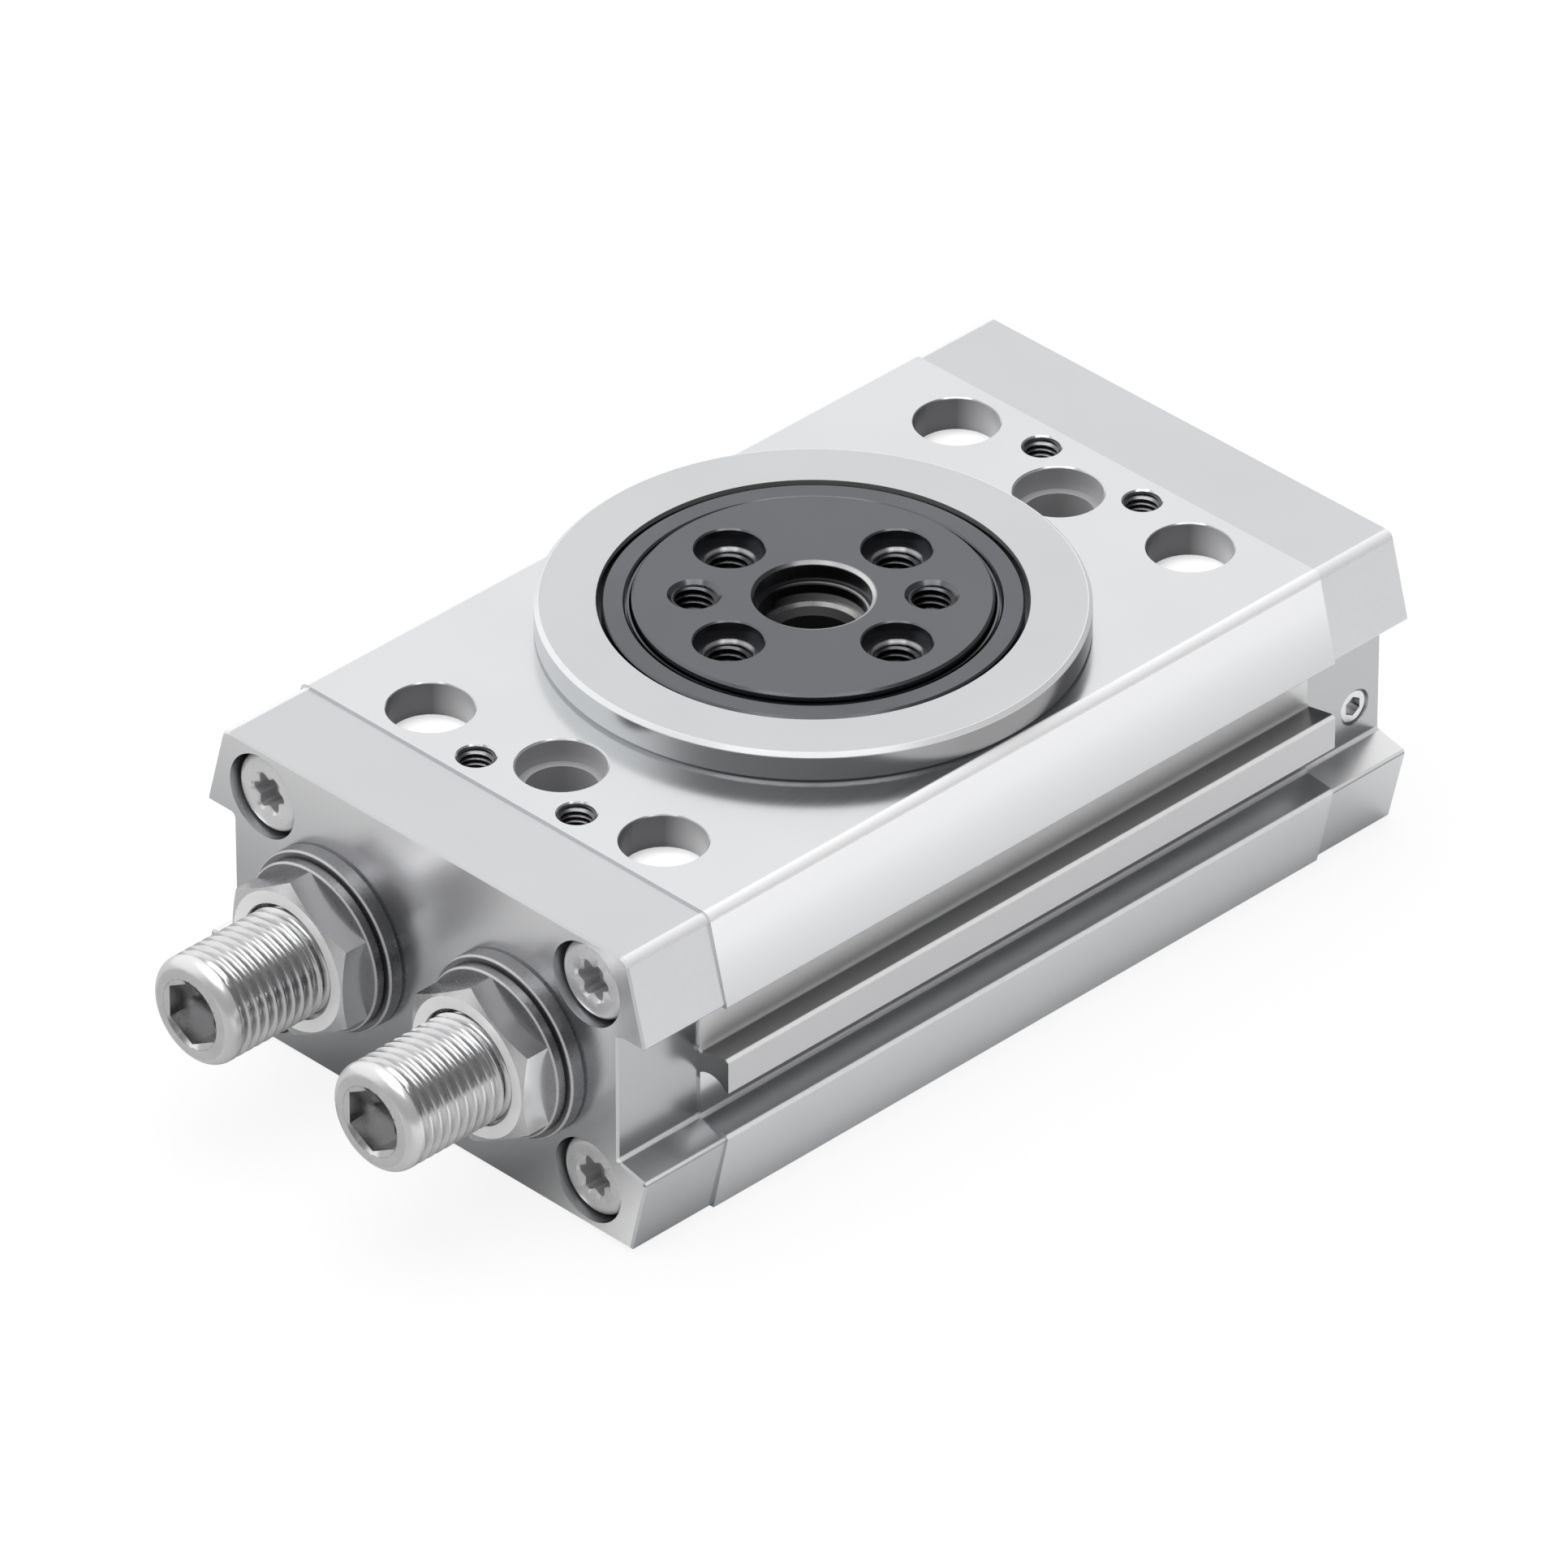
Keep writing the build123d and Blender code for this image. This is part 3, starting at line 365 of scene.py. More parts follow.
# Painted highlights along the channel's edges and along the top edge.
channel_corners = ((34.85, 22.85), (39.7, 23.6), (34.85, 12.8), (39.7, 12.0))
channel_highlights = edge_highlight_mask(housing_finish, channel_corners, 0.25, 0.50)
lay_painted_shading(housing_finish, channel_highlights, (0.93, 0.93, 0.93), 0.35, 0.0)
top_corner = (36.2, 43.65)
top_edge_highlight = edge_highlight_mask(housing_finish, (top_corner,), 0.70, 1.00)
lay_painted_shading(housing_finish, top_edge_highlight, (0.76, 0.76, 0.77), 0.35, 0.0)
print("light lines along", len(channel_corners) + 1, "edges of each side")

# %% [markdown]
# ## The holes in the top
# The top has four round pockets and two holes that go right through. Their walls are painted in shade on the
# side that looks away from the light and painted light on the side that looks into it, and a pocket's floor
# is painted bright. The mask is a round rod about each hole's axis, a little wider than the hole.

# %% Holes in the top
pocket_axis = (20.9 * MM, 47.0 * MM, 0)
through_axis = (0, 44.4 * MM, 0)
looks_left = facing(tree, (-0.707, -0.707, 0), 0.0, 1.0)

# Painted shade on the pocket walls, painted light on their lit side and on the pocket floors.
pockets = near_line(tree, place, (1, 1, 0), pocket_axis, 5.62 * MM, 5.72 * MM)
lay_painted_shading(housing_finish, pockets, (0.11, 0.11, 0.115), 0.40, 0.6)
lay_painted_shading(housing_finish, product(tree, pockets, looks_left), (0.62, 0.62, 0.63), 0.40, 0.4)
lay_painted_shading(housing_finish, product(tree, pockets, flat_tops), (1.0, 1.0, 1.0), 0.40, 0.0)

# Painted shade in the through holes, lighter on their lit side.
through_hole = near_line(tree, place, (1, 1, 0), through_axis, 5.87 * MM, 5.97 * MM)
lay_painted_shading(housing_finish, through_hole, (0.38, 0.38, 0.39), 0.45, 0.3)
lay_painted_shading(housing_finish, product(tree, through_hole, looks_left), (0.70, 0.70, 0.71), 0.40, 0.3)
print("holes shaded at", [round(c / MM, 1) for c in pocket_axis], [round(c / MM, 1) for c in through_axis])

# %% [markdown]
# ## The end caps
# The caps follow the body's section but stand back a little all round. Light and shade are painted on them:
# their front face is painted lighter at its top and in its lower right corner, their neck is painted darker
# than the body's, their ledge is painted bright, and thin highlights are painted along their edges.

# %% Caps
tree, place = tree_and_place(cap_finish)
cap_top_corner = (35.85, 43.3)
# Painted highlight along the cap's top edge.
lay_painted_shading(cap_finish, edge_highlight_mask(cap_finish, (cap_top_corner,), 0.70, 1.00), (0.68, 0.68, 0.69), 0.35, 0.0)

# Painted light on the cap's ledge and painted shade on its neck.
cap_ledge_painted_light = near_line(tree, place, UP, (0, 0, 11.8 * MM), 1.5 * MM, 1.7 * MM)
lay_painted_shading(cap_finish, product(tree, facing(tree, UP), cap_ledge_painted_light), (0.85, 0.85, 0.86), 0.28, 1.0)
cap_neck_painted_shade = near_line(tree, place, (1, 0, neck_tallness), (34.45 * MM, 0, 22 * neck_tallness * MM),
                     0.40 * MM, 0.45 * MM)
lay_painted_shading(cap_finish, product(tree, cap_neck_painted_shade, facing(tree, TOWARDS_RIGHT)), (0.45, 0.46, 0.47), 0.25, 1.0)

# Painted light on the front face, at its top and in its lower right corner.
cap_front = facing(tree, TOWARDS_FRONT)
high_light = product(tree, cap_front, rising(tree, place, UP, 24 * MM, top_level))
lay_painted_shading(cap_finish, high_light, (0.90, 0.90, 0.91), 0.25, 1.0)
low_corner_light = product(tree, cap_front, rising(tree, place, (0.707, 0, -0.707), 10 * MM, 22 * MM))
lay_painted_shading(cap_finish, low_corner_light, (0.98, 0.98, 0.98), 0.30, 0.8)

# Painted highlights along the edges of the cap's ledge.
cap_ledge_corners = ((34.5, 12.8), (39.35, 11.6))
lay_painted_shading(cap_finish, edge_highlight_mask(cap_finish, cap_ledge_corners, 0.20, 0.45), (0.90, 0.90, 0.90), 0.35, 0.0)
print("cap faces laid over", cap_finish.name)

# %% [markdown]
# ## Turned metal
# The collar and the flange were turned on a lathe, which leaves rings round the axis. Rings come from the
# distance to the axis: a noise that only changes with that distance is the same all the way round.

# %% Turned finishes
def turned_metal(name, dark, light, roughness, microns):
    """Metal turned round the Z axis, with faint rings."""
    material, tree, shader, place = start_material(name)
    split = tree.nodes.new("ShaderNodeSeparateXYZ")
    tree.links.new(place, split.inputs["Vector"])
    distance = vector_math(tree, "LENGTH", vector_math(tree, "MULTIPLY", place, (1, 1, 0)))
    polar = tree.nodes.new("ShaderNodeCombineXYZ")
    tree.links.new(distance, polar.inputs["X"])
    tree.links.new(split.outputs["Z"], polar.inputs["Z"])
    rings = noise(tree, polar.outputs["Vector"], 1800, 3)
    clouds = noise(tree, place, 60, 2)
    tree.links.new(between(tree, clouds, dark, light), shader.inputs["Base Color"])
    tree.links.new(spread(tree, rings, roughness - 0.02, roughness + 0.03), shader.inputs["Roughness"])
    relief(tree, shader, rings, microns)
    shader.inputs["Metallic"].default_value = 1.0
    return material


collar_finish = turned_metal("collar_turned", (0.570, 0.580, 0.590), (0.590, 0.600, 0.610), 0.24, 0.2)
flange_finish = turned_metal("flange_dark_steel", (0.138, 0.141, 0.151), (0.144, 0.147, 0.157), 0.24, 0.3)
cover_finish = turned_metal("cover_ring_steel", (0.125, 0.130, 0.140), (0.145, 0.150, 0.160), 0.24, 0.3)
print("turned:", collar_finish.name, flange_finish.name, cover_finish.name)

# %% [markdown]
# ## The collar's wall and rims
# A turner breaks every sharp rim with a fine bevel, and a thin bright line is painted round the top edge as
# its highlight. The wall below it is painted light on the left and painted in shade towards the far right,
# and a grey ring of painted shading runs round the top of the bore. A rim is given by its radius and its
# level.

# %% Collar
AXIS = (0, 0, 0)
towards_far_right = (0.707, 0.707, 0)

tree, place = tree_and_place(collar_finish)
# Painted light on the collar's wall, painted shade on its far right side.
collar_wall_painted_shading = facing(tree, (0, 0, -1), -0.3, -0.1)
lay_painted_shading(collar_finish, collar_wall_painted_shading, (0.68, 0.69, 0.70), 0.24, 1.0)
wall_right_painted_shade = product(tree, collar_wall_painted_shading, facing(tree, towards_far_right, -0.75, 0.55))
lay_painted_shading(collar_finish, wall_right_painted_shade, (0.27, 0.27, 0.275), 0.24, 1.0)
# A painted highlight round the top rim and a grey ring of painted shading at the top of the bore.
collar_rim_highlight = near_rim(tree, place, AXIS, UP, (35.1 * MM, 48.05 * MM), 0.36 * MM, 0.50 * MM)
lay_painted_shading(collar_finish, collar_rim_highlight, (0.74, 0.74, 0.75), 0.30, 0.4)
bore_top_painted_shading = near_rim(tree, place, AXIS, UP, (27.5 * MM, 47.9 * MM), 0.32 * MM, 0.40 * MM)
lay_painted_shading(collar_finish, bore_top_painted_shading, (0.20, 0.20, 0.205), 0.40, 0.0)
print("collar wall and rims laid over", collar_finish.name)

# %% [markdown]
# ## The flange's bores
# The centre bore has three rims, one below the other, and a highlight is painted on their far half only. Each
# of the four sleeve seats has a rim on its floor, round the thread, with a painted highlight that shows as a
# small bright arc.

# %% Flange
hole_circle = 15.0 * MM
seat_rim = (3.15 * MM, 46.8 * MM)

tree, place = tree_and_place(flange_finish)
# Painted highlights on the far half of the centre bore's rims and on the sleeve seats' rims.
bore_rim_highlights = [
    near_rim(tree, place, AXIS, UP, (7.7 * MM, 48.7 * MM), 0.20 * MM, 0.45 * MM),
    near_rim(tree, place, AXIS, UP, (7.0 * MM, 46.1 * MM), 0.15 * MM, 0.35 * MM),
    near_rim(tree, place, AXIS, UP, (7.0 * MM, 43.6 * MM), 0.80 * MM, 1.00 * MM),
]
far_half = rising(tree, place, towards_far_right, -5 * MM, 6 * MM)
lay_painted_shading(flange_finish, product(tree, largest(tree, bore_rim_highlights), far_half), (0.60, 0.60, 0.60), 0.30, 0.4)
seat_rim_highlights = [near_rim(tree, place, centre, UP, seat_rim, 0.12 * MM, 0.35 * MM)
             for centre in ((hole_circle, 0, 0), (0, hole_circle, 0))]
lay_painted_shading(flange_finish, largest(tree, seat_rim_highlights), (0.45, 0.45, 0.46), 0.25, 0.8)
print("bore rims laid over", flange_finish.name)

# %% [markdown]
# ## Steel of the small parts
# Screws, nuts and washers are zinc plated steel, the gear parts inside are ground and the bearings are
# polished. They share one recipe: a base colour with small clouds, a roughness that varies a little, and
# a fine relief. The last two numbers are the relief's waves to the metre and its depth in microns.

# %% Steel finishes
def plain_finish(name, dark, light, roughness, metallic, waves, microns):
    """A finish with small clouds, uneven roughness and fine relief."""
    material, tree, shader, place = start_material(name)
    clouds = noise(tree, place, 350, 3)
    fine = noise(tree, place, waves, 3)
    tree.links.new(between(tree, clouds, dark, light), shader.inputs["Base Color"])
    tree.links.new(spread(tree, fine, roughness - 0.05, roughness + 0.05), shader.inputs["Roughness"])
    relief(tree, shader, fine, microns)
    shader.inputs["Metallic"].default_value = metallic
    return material


plated = plain_finish("zinc_plated", (0.66, 0.66, 0.67), (0.74, 0.74, 0.74), 0.20, 1.0, 3500, 0.4)
washer_steel = plain_finish("washer_steel", (0.25, 0.25, 0.26), (0.28, 0.28, 0.29), 0.30, 1.0, 3500, 0.1)
nut_steel = plain_finish("nut_steel", (0.62, 0.62, 0.63), (0.68, 0.68, 0.69), 0.24, 1.0, 3500, 0.3)
head_steel = plain_finish("screw_head_steel", (0.74, 0.74, 0.75), (0.80, 0.80, 0.80), 0.32, 0.6, 3500, 0.4)
thread_steel = plain_finish("thread_steel", (0.05, 0.05, 0.055), (0.07, 0.07, 0.075), 0.25, 1.0, 3000, 0.4)
# The threads in the body's holes are painted much darker than the body's aluminium, as shade.
thread_aluminium_painted_shade = plain_finish("thread_aluminium_painted_shade", (0.15, 0.15, 0.155), (0.19, 0.19, 0.195), 0.30, 1.0, 3000, 0.4)
ground_steel = plain_finish("ground_steel", (0.42, 0.43, 0.45), (0.50, 0.51, 0.53), 0.28, 1.0, 3000, 1.0)
polished_steel = plain_finish("polished_steel", (0.60, 0.61, 0.63), (0.66, 0.67, 0.69), 0.12, 1.0, 3000, 0.4)
shaft_steel = plain_finish("shaft_steel", (0.12, 0.12, 0.125), (0.15, 0.15, 0.155), 0.30, 1.0, 3000, 0.4)
print("steel:", plated.name, head_steel.name, ground_steel.name, polished_steel.name, shaft_steel.name)

# %% [markdown]
# ## Rubber, plastic and magnet
# The same recipe serves for what isn't metal: the metallic share is 0, the roughness is high and the
# relief is deeper. The seals are black rubber, the bearings' cages natural plastic, and the magnets in
# the pistons black.

# %% Rubber, plastic and magnet finishes
black_rubber = plain_finish(
    "black_rubber", (0.012, 0.012, 0.013), (0.022, 0.022, 0.024), 0.60, 0.0, 2500, 4.0)
buffer_rubber = plain_finish(
    "buffer_rubber", (0.035, 0.035, 0.040), (0.055, 0.055, 0.060), 0.50, 0.0, 2500, 4.0)
cage_plastic = plain_finish("cage_plastic", (0.74, 0.69, 0.56), (0.82, 0.78, 0.66), 0.45, 0.0, 2000, 2.0)
magnet_black = plain_finish("magnet_black", (0.05, 0.05, 0.055), (0.08, 0.08, 0.085), 0.55, 0.0, 3500, 3.0)
print("soft and dark:", black_rubber.name, buffer_rubber.name, cage_plastic.name, magnet_black.name)

# %% [markdown]
# ## Faces and rims of washers and nuts
# The washers are dark discs with a painted highlight round their rims. A nut's faces are given painted
# reflections: its front and its right face are painted bright, the slanted face above the right one dark.

# %% Washers and nuts
screw_axis = (16.25 * MM, 0, 22 * MM)
ALONG_SCREW = (0, 1, 0)

tree, place = tree_and_place(washer_steel)
# Painted highlights round the washers' rims.
washer_rim_highlights = [near_rim(tree, place, screw_axis, ALONG_SCREW, rim, 0.06 * MM, 0.22 * MM)
               for rim in ((11.55 * MM, 72.35 * MM), (12.45 * MM, 70.70 * MM))]
lay_painted_shading(washer_steel, largest(tree, washer_rim_highlights), (0.52, 0.52, 0.52), 0.35, 0.2)

tree = nut_steel.node_tree
# Painted reflections on the nut's faces: bright on the front and right, dark on the slanted face above the
# right one.
lay_painted_shading(nut_steel, facing(tree, TOWARDS_FRONT), (0.95, 0.95, 0.95), 0.35, 0.2)
lay_painted_shading(nut_steel, facing(tree, TOWARDS_RIGHT), (0.92, 0.92, 0.92), 0.24, 1.0)
lay_painted_shading(nut_steel, facing(tree, (0.5, 0, 0.866)), (0.30, 0.30, 0.31), 0.26, 1.0)
print("washer rims and nut faces laid over", washer_steel.name, nut_steel.name)

# %% [markdown]
# ## Sockets, screw fronts and the shaft's mouth
# The star sockets are painted a little darker than their heads, as shade, and the round front of an adjusting
# screw is painted with a duller, more even light than its thread. Inside the flange the shaft's mouth is
# painted lighter on its far right, and its bore is painted black as shade.

# %% Star sockets, screw fronts and the shaft's mouth
cap_screw_x = 29.1 * MM
cap_screw_levels = (7.2 * MM, 36.8 * MM)

tree, place = tree_and_place(head_steel)
# Painted shade inside the star sockets.
star_hole_painted_shade = largest(tree, [near_line(tree, place, (1, 0, 1), (cap_screw_x, 0, z), 2.65 * MM, 2.80 * MM)
                            for z in cap_screw_levels])
below_faces = near_line(tree, place, (0, 1, 0), (0, 60 * MM, 0), 7.25 * MM, 7.40 * MM)
lay_painted_shading(head_steel, product(tree, star_hole_painted_shade, below_faces), (0.62, 0.62, 0.63), 0.35, 0.7)

tree, place = tree_and_place(plated)
# Painted light on the screws' round fronts, duller and more even than the thread.
round_front_painted_light = near_rim(tree, place, screw_axis, ALONG_SCREW, (7.1 * MM, 92.8 * MM), 1.30 * MM, 1.50 * MM)
not_flat = facing(tree, ALONG_SCREW, -0.97, -0.90)
lay_painted_shading(plated, product(tree, round_front_painted_light, not_flat), (0.70, 0.70, 0.70), 0.28, 0.6)

tree, place = tree_and_place(shaft_steel)
# Painted light on the far right of the shaft's mouth, and painted black shade in its bore.
mouth_light = rising(tree, place, towards_far_right, 0.0 * MM, 4.0 * MM)
lay_painted_shading(shaft_steel, mouth_light, (0.50, 0.50, 0.50), 0.35, 0.8)
shaft_hole_painted_shade = near_line(tree, place, (1, 1, 0), AXIS, 6.3 * MM, 6.4 * MM)
lay_painted_shading(shaft_steel, shaft_hole_painted_shade, (0.01, 0.01, 0.011), 0.60, 0.0)
print("sockets and fronts laid over", head_steel.name, plated.name, shaft_steel.name)

# %% [markdown]
# ## Give every solid its finish
# The solids keep their shape. Only their material slots change. Which finish a solid gets follows from
# the record's own slot for it, so a new solid of the same kind would be dressed without another line. The
# cover ring, the shaft, the washers and the nuts share slots with others and get finishes of their own.

# %% Finishes by slot
finish_of_slot = {
    "housing_metal": housing_finish,
    "cap_metal": cap_finish,
    "collar_metal": collar_finish,
    "flange_steel": flange_finish,
    "fastener_steel": plated,
    "gear_steel": ground_steel,
    "bearing_steel": polished_steel,
    "cage_plastic": cage_plastic,
    "seal_rubber": black_rubber,
    "buffer_rubber": buffer_rubber,
    "magnet_material": magnet_black,
}
slot_of_node = {part["node"]: part["material_slot"] for part in frame["record"]["subparts"]}


def dress(solid, finish):
    """Gives a solid one finish in all its slots."""
    solid.data.materials.clear()
    solid.data.materials.append(finish)


for name, solid in nodes.items():
    dress(solid, finish_of_slot[slot_of_node[name]])
dress(nodes["bearing_cover_ring"], cover_finish)
dress(nodes["pinion_shaft"], shaft_steel)
for side in ("left", "right"):
    dress(nodes[f"{side}_plain_washer"], washer_steel)
    dress(nodes[f"{side}_sealing_washer"], washer_steel)
    dress(nodes[f"{side}_lock_nut"], nut_steel)
print("dressed", len(nodes), "solids")

# %% [markdown]
# ## Screw threads
# A thread is one groove that climbs a shaft. It could be faked with bump, but its crests show against the
# background, so it is made as a mesh. Rows of points follow the climb: row by row the radius goes root,
# crest, crest, root, and after one turn each row meets the row one pitch further on. At both ends the
# rows are held between the end planes and under a limit, which gives the cone that a real screw starts
# with.

# %% Helical surface
TURN = 2 * math.pi


def around(radius, angle, along):
    """A point at a radius and angle round the local axis, that far along it."""
    return Vector((radius * math.cos(angle), radius * math.sin(angle), along))


def climbing_rows(pitch, low, high, profile):
    """Places along the axis and radii of the rows of one thread."""
    turns = math.ceil((high - low) / pitch) + 1
    return [(low + (turn + share) * pitch, radius) for turn in range(-1, turns) for share, radius in profile]


def add_thread(shape, place, low, high, pitch, profile, limit, steps):
    """Adds one helical surface to a mesh, held between two end planes."""
    rows = climbing_rows(pitch, low, high, profile)
    grid = []
    for along, radius in rows:
        line = []
        for step in range(steps):
            angle = TURN * step / steps
            level = min(max(along + pitch * step / steps, low), high)
            line.append(shape.verts.new(place @ around(limit(level, radius), angle, level)))
        grid.append(line)
    for row in range(len(rows) - len(profile) - 1):
        for step in range(steps):
            ahead = (step + 1) % steps
            climb = len(profile) if ahead == 0 else 0
            low_edge = (grid[row][step], grid[row + climb][ahead])
            high_edge = (grid[row + 1 + climb][ahead], grid[row + 1][step])
            shape.faces.new(low_edge + high_edge)


print("thread helper ready")

# %% [markdown]
# ## Turned surfaces and walls
# Everything else on a screw is either turned, like its round front, or a wall between two closed loops,
# like the six flats of its socket. Both are rings of points joined by four sided faces.

# %% Turned surfaces and walls
def join_loops(shape, loops):
    """Joins loops of equally many points with four sided faces."""
    for lower, upper in zip(loops, loops[1:]):
        count = len(lower)
        for step in range(count):
            ahead = (step + 1) % count
            shape.faces.new((lower[step], lower[ahead], upper[ahead], upper[step]))


def add_turned(shape, place, outline, steps):
    """Adds the surface that an outline of radius and level makes when it is turned."""
    join_loops(shape, [
        [shape.verts.new(place @ around(radius, TURN * step / steps, level)) for step in range(steps)]
        for radius, level in outline])


def add_walls(shape, place, loops):
    """Joins loops of points with walls, and closes the last loop."""
    lines = [[shape.verts.new(place @ Vector(point)) for point in loop] for loop in loops]
    join_loops(shape, lines)
    shape.faces.new(lines[-1])


print("surface helpers ready")

# %% [markdown]
# ## From a bmesh to a piece
# A finished piece is merged where points coincide, its faces are turned outwards, and it is shaded smooth
# with sharp edges kept sharp. It rides on a body of the frame, so that it moves with it.

# %% Finish a piece
SHARP_ANGLE = math.radians(28)
SAME_PLACE = 2 * MICRON


def make_piece(name, shape, finish, body):
    """Turns a bmesh into a dressed piece that rides on a body."""
    bmesh.ops.remove_doubles(shape, verts=shape.verts, dist=SAME_PLACE)
    bmesh.ops.dissolve_degenerate(shape, edges=shape.edges, dist=SAME_PLACE)
    bmesh.ops.recalc_face_normals(shape, faces=shape.faces)
    mesh = bpy.data.meshes.new(name)
    shape.to_mesh(mesh)
    shape.free()
    mesh.materials.append(finish)
    mesh.shade_smooth()
    mesh.set_sharp_from_angle(angle=SHARP_ANGLE)
    piece = bpy.data.objects.new(name, mesh)
    bpy.context.scene.collection.objects.link(piece)
    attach(piece, body)
    print(name, len(mesh.polygons), "faces")
    return piece


# %% [markdown]
# ## Outlines that screws share
# A screw is easiest to draw standing up, along its own Z, and then laid into place by one matrix. Its
# socket is a hexagon or a star, its rim a quarter round. The hexagon has three more points on each side,
# so that it has as many as the circle it joins.

# %% Outlines of screws
def look_along(origin, axis):
    """A placing whose local Z points along an axis."""
    return Matrix.Translation(origin) @ Vector(axis).to_track_quat("Z", "Y").to_matrix().to_4x4()


def corner_radius(across_flats):
    """How far a hexagon's corners are from its middle."""
    return across_flats / 2 / math.cos(math.pi / 6)


def hexagon(across_flats, level, first_angle):
    """A hexagon with three more points on each side."""
    corners = [around(corner_radius(across_flats), first_angle + TURN * k / 6, level) for k in range(6)]
    shares = (0, 1 / 4, 1 / 2, 3 / 4)
    return [corners[k].lerp(corners[(k + 1) % 6], share) for k in range(6) for share in shares]


def circle(radius, level, first_angle, count):
    """Points of a circle."""
    return [around(radius, first_angle + TURN * k / count, level) for k in range(count)]


def rounded_rim(radius, fillet, level, count):
    """Radius and level of a quarter round that ends on top of a drum."""
    quarter = [math.pi / 2 * k / count for k in range(count + 1)]
    return [(radius - fillet + fillet * math.cos(a), level - fillet + fillet * math.sin(a)) for a in quarter]


print("a hexagon has", len(hexagon(1.0, 0.0, 0.0)), "points")

# %% [markdown]
# ## The two adjusting screws
# Each screw is a threaded sleeve with a big round front and a hexagon socket for a key. The solid under
# it is a smooth rod with the same outside, so the thread cuts into it and stays inside its box. Crest and
# root are slightly flat, as rolled threads are, and the thread runs out just before the round. The
# socket's mouth has a small cone, then six flat walls and a drilled bottom. The back end is bored for the
# elastic buffer.

# %% Sizes of an adjusting screw
screw_pitch = 1.5 * MM
thread_depth = 0.85 * MM
crest_drop = 0.18 * MM
end_round = 1.9 * MM
back_chamfer = 0.9 * MM
run_out_length = 0.8 * MM
key_width = 8.0 * MM
key_depth = 7.0 * MM
mouth_flare = 0.25 * MM
mouth_cone = 0.35 * MM
drill_tip = 1.6 * MM
tip_radius = 0.2 * MM
buffer_bore_radius = 3.0 * MM
buffer_bore_depth = 7.1 * MM
socket_points = 24
socket_angle = math.pi / 6
screw_steps = 96
print("pitch", screw_pitch / MM, "mm, key", key_width / MM, "mm")

# %% [markdown]
# ## Making an adjusting screw
# The thread, the round front, the socket and the bore in the back are laid down one after the other. The
# screw could be cut out of a rod with booleans instead, but a thread cut that way leaves ragged faces. The
# profile gives the thread's rows, each as a share of one pitch and a radius.

# %% Adjusting screws
def adjusting_screw(side):
    """One screw in the place of its solid."""
    low_corner, high_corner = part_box(f"{side}_adjusting_screw")
    middle = (low_corner + high_corner) / 2
    outer = (high_corner.x - low_corner.x) / 2
    length = high_corner.y - low_corner.y
    root = outer - thread_depth
    thread_end = length - end_round
    place = look_along(Vector((middle.x, high_corner.y, middle.z)), TOWARDS_FRONT)

    def held(level, radius):
        """Holds the thread under its back chamfer and lets it run out before the round front."""
        run_out = min(1.0, max(0.0, (level - thread_end + run_out_length) / run_out_length))
        return min(radius + (outer - radius) * run_out, outer - back_chamfer + level)

    profile = ((0.0, root), (0.14, root), (0.32, outer - crest_drop), (0.44, outer), (0.58, outer),
               (0.70, outer - crest_drop), (0.88, root))
    shape = bmesh.new()
    add_thread(shape, place, 0.0, thread_end, screw_pitch, profile, held, screw_steps)
    add_turned(shape, place, rounded_rim(outer, end_round, length, 10), screw_steps)
    mouth = corner_radius(key_width) + mouth_flare
    add_turned(shape, place, ((outer - end_round, length), (mouth, length)), screw_steps)
    add_walls(shape, place, (
        circle(mouth, length, socket_angle, socket_points),
        hexagon(key_width, length - mouth_cone, socket_angle),
        hexagon(key_width, length - key_depth, socket_angle),
        circle(tip_radius, length - key_depth - drill_tip, socket_angle, socket_points),
    ))
    bore = ((outer - back_chamfer, 0.0), (buffer_bore_radius, 0.0), (buffer_bore_radius, buffer_bore_depth))
    add_turned(shape, place, bore, screw_steps)
    add_walls(shape, place, (circle(buffer_bore_radius, buffer_bore_depth, 0, screw_steps),))
    return make_piece(f"{side}_threaded_screw", shape, plated, f"{side}_screw_body")


for side in ("left", "right"):
    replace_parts(adjusting_screw(side), f"{side}_adjusting_screw")

# %% [markdown]
# ## The cap screws
# Eight screws with star sockets hold the caps. A head is a short drum with a rounded rim. The star is a
# circle whose radius swells and shrinks six times, which comes close to the real socket's arcs, and its
# mouth is a shallow cone that catches the light. The shank below the head is hidden in the body and stays
# plain.

# %% Sizes of a cap screw
def star(radius, swing, level, count):
    """Points of a six pointed star with round lobes."""
    angles = [TURN * k / count for k in range(count)]
    return [around(radius + swing * math.cos(6 * angle), angle, level) for angle in angles]


head_radius = 5.5 * MM
head_height = 5.0 * MM
rim_round = 1.1 * MM
star_radius = 2.35 * MM
star_swing = 0.42 * MM
star_depth = 3.0 * MM
star_tip = 0.5 * MM
star_points = 72
shank_radius = 3.0 * MM
print("star socket", round(2 * (star_radius + star_swing) / MM, 2), "mm over its points")

# %% [markdown]
# ## Making the cap screws
# The four screws of a cap never move on their own, so they are one piece, like the solid whose place they
# take. Each stands in a corner of that solid's box, with its head to the outside.

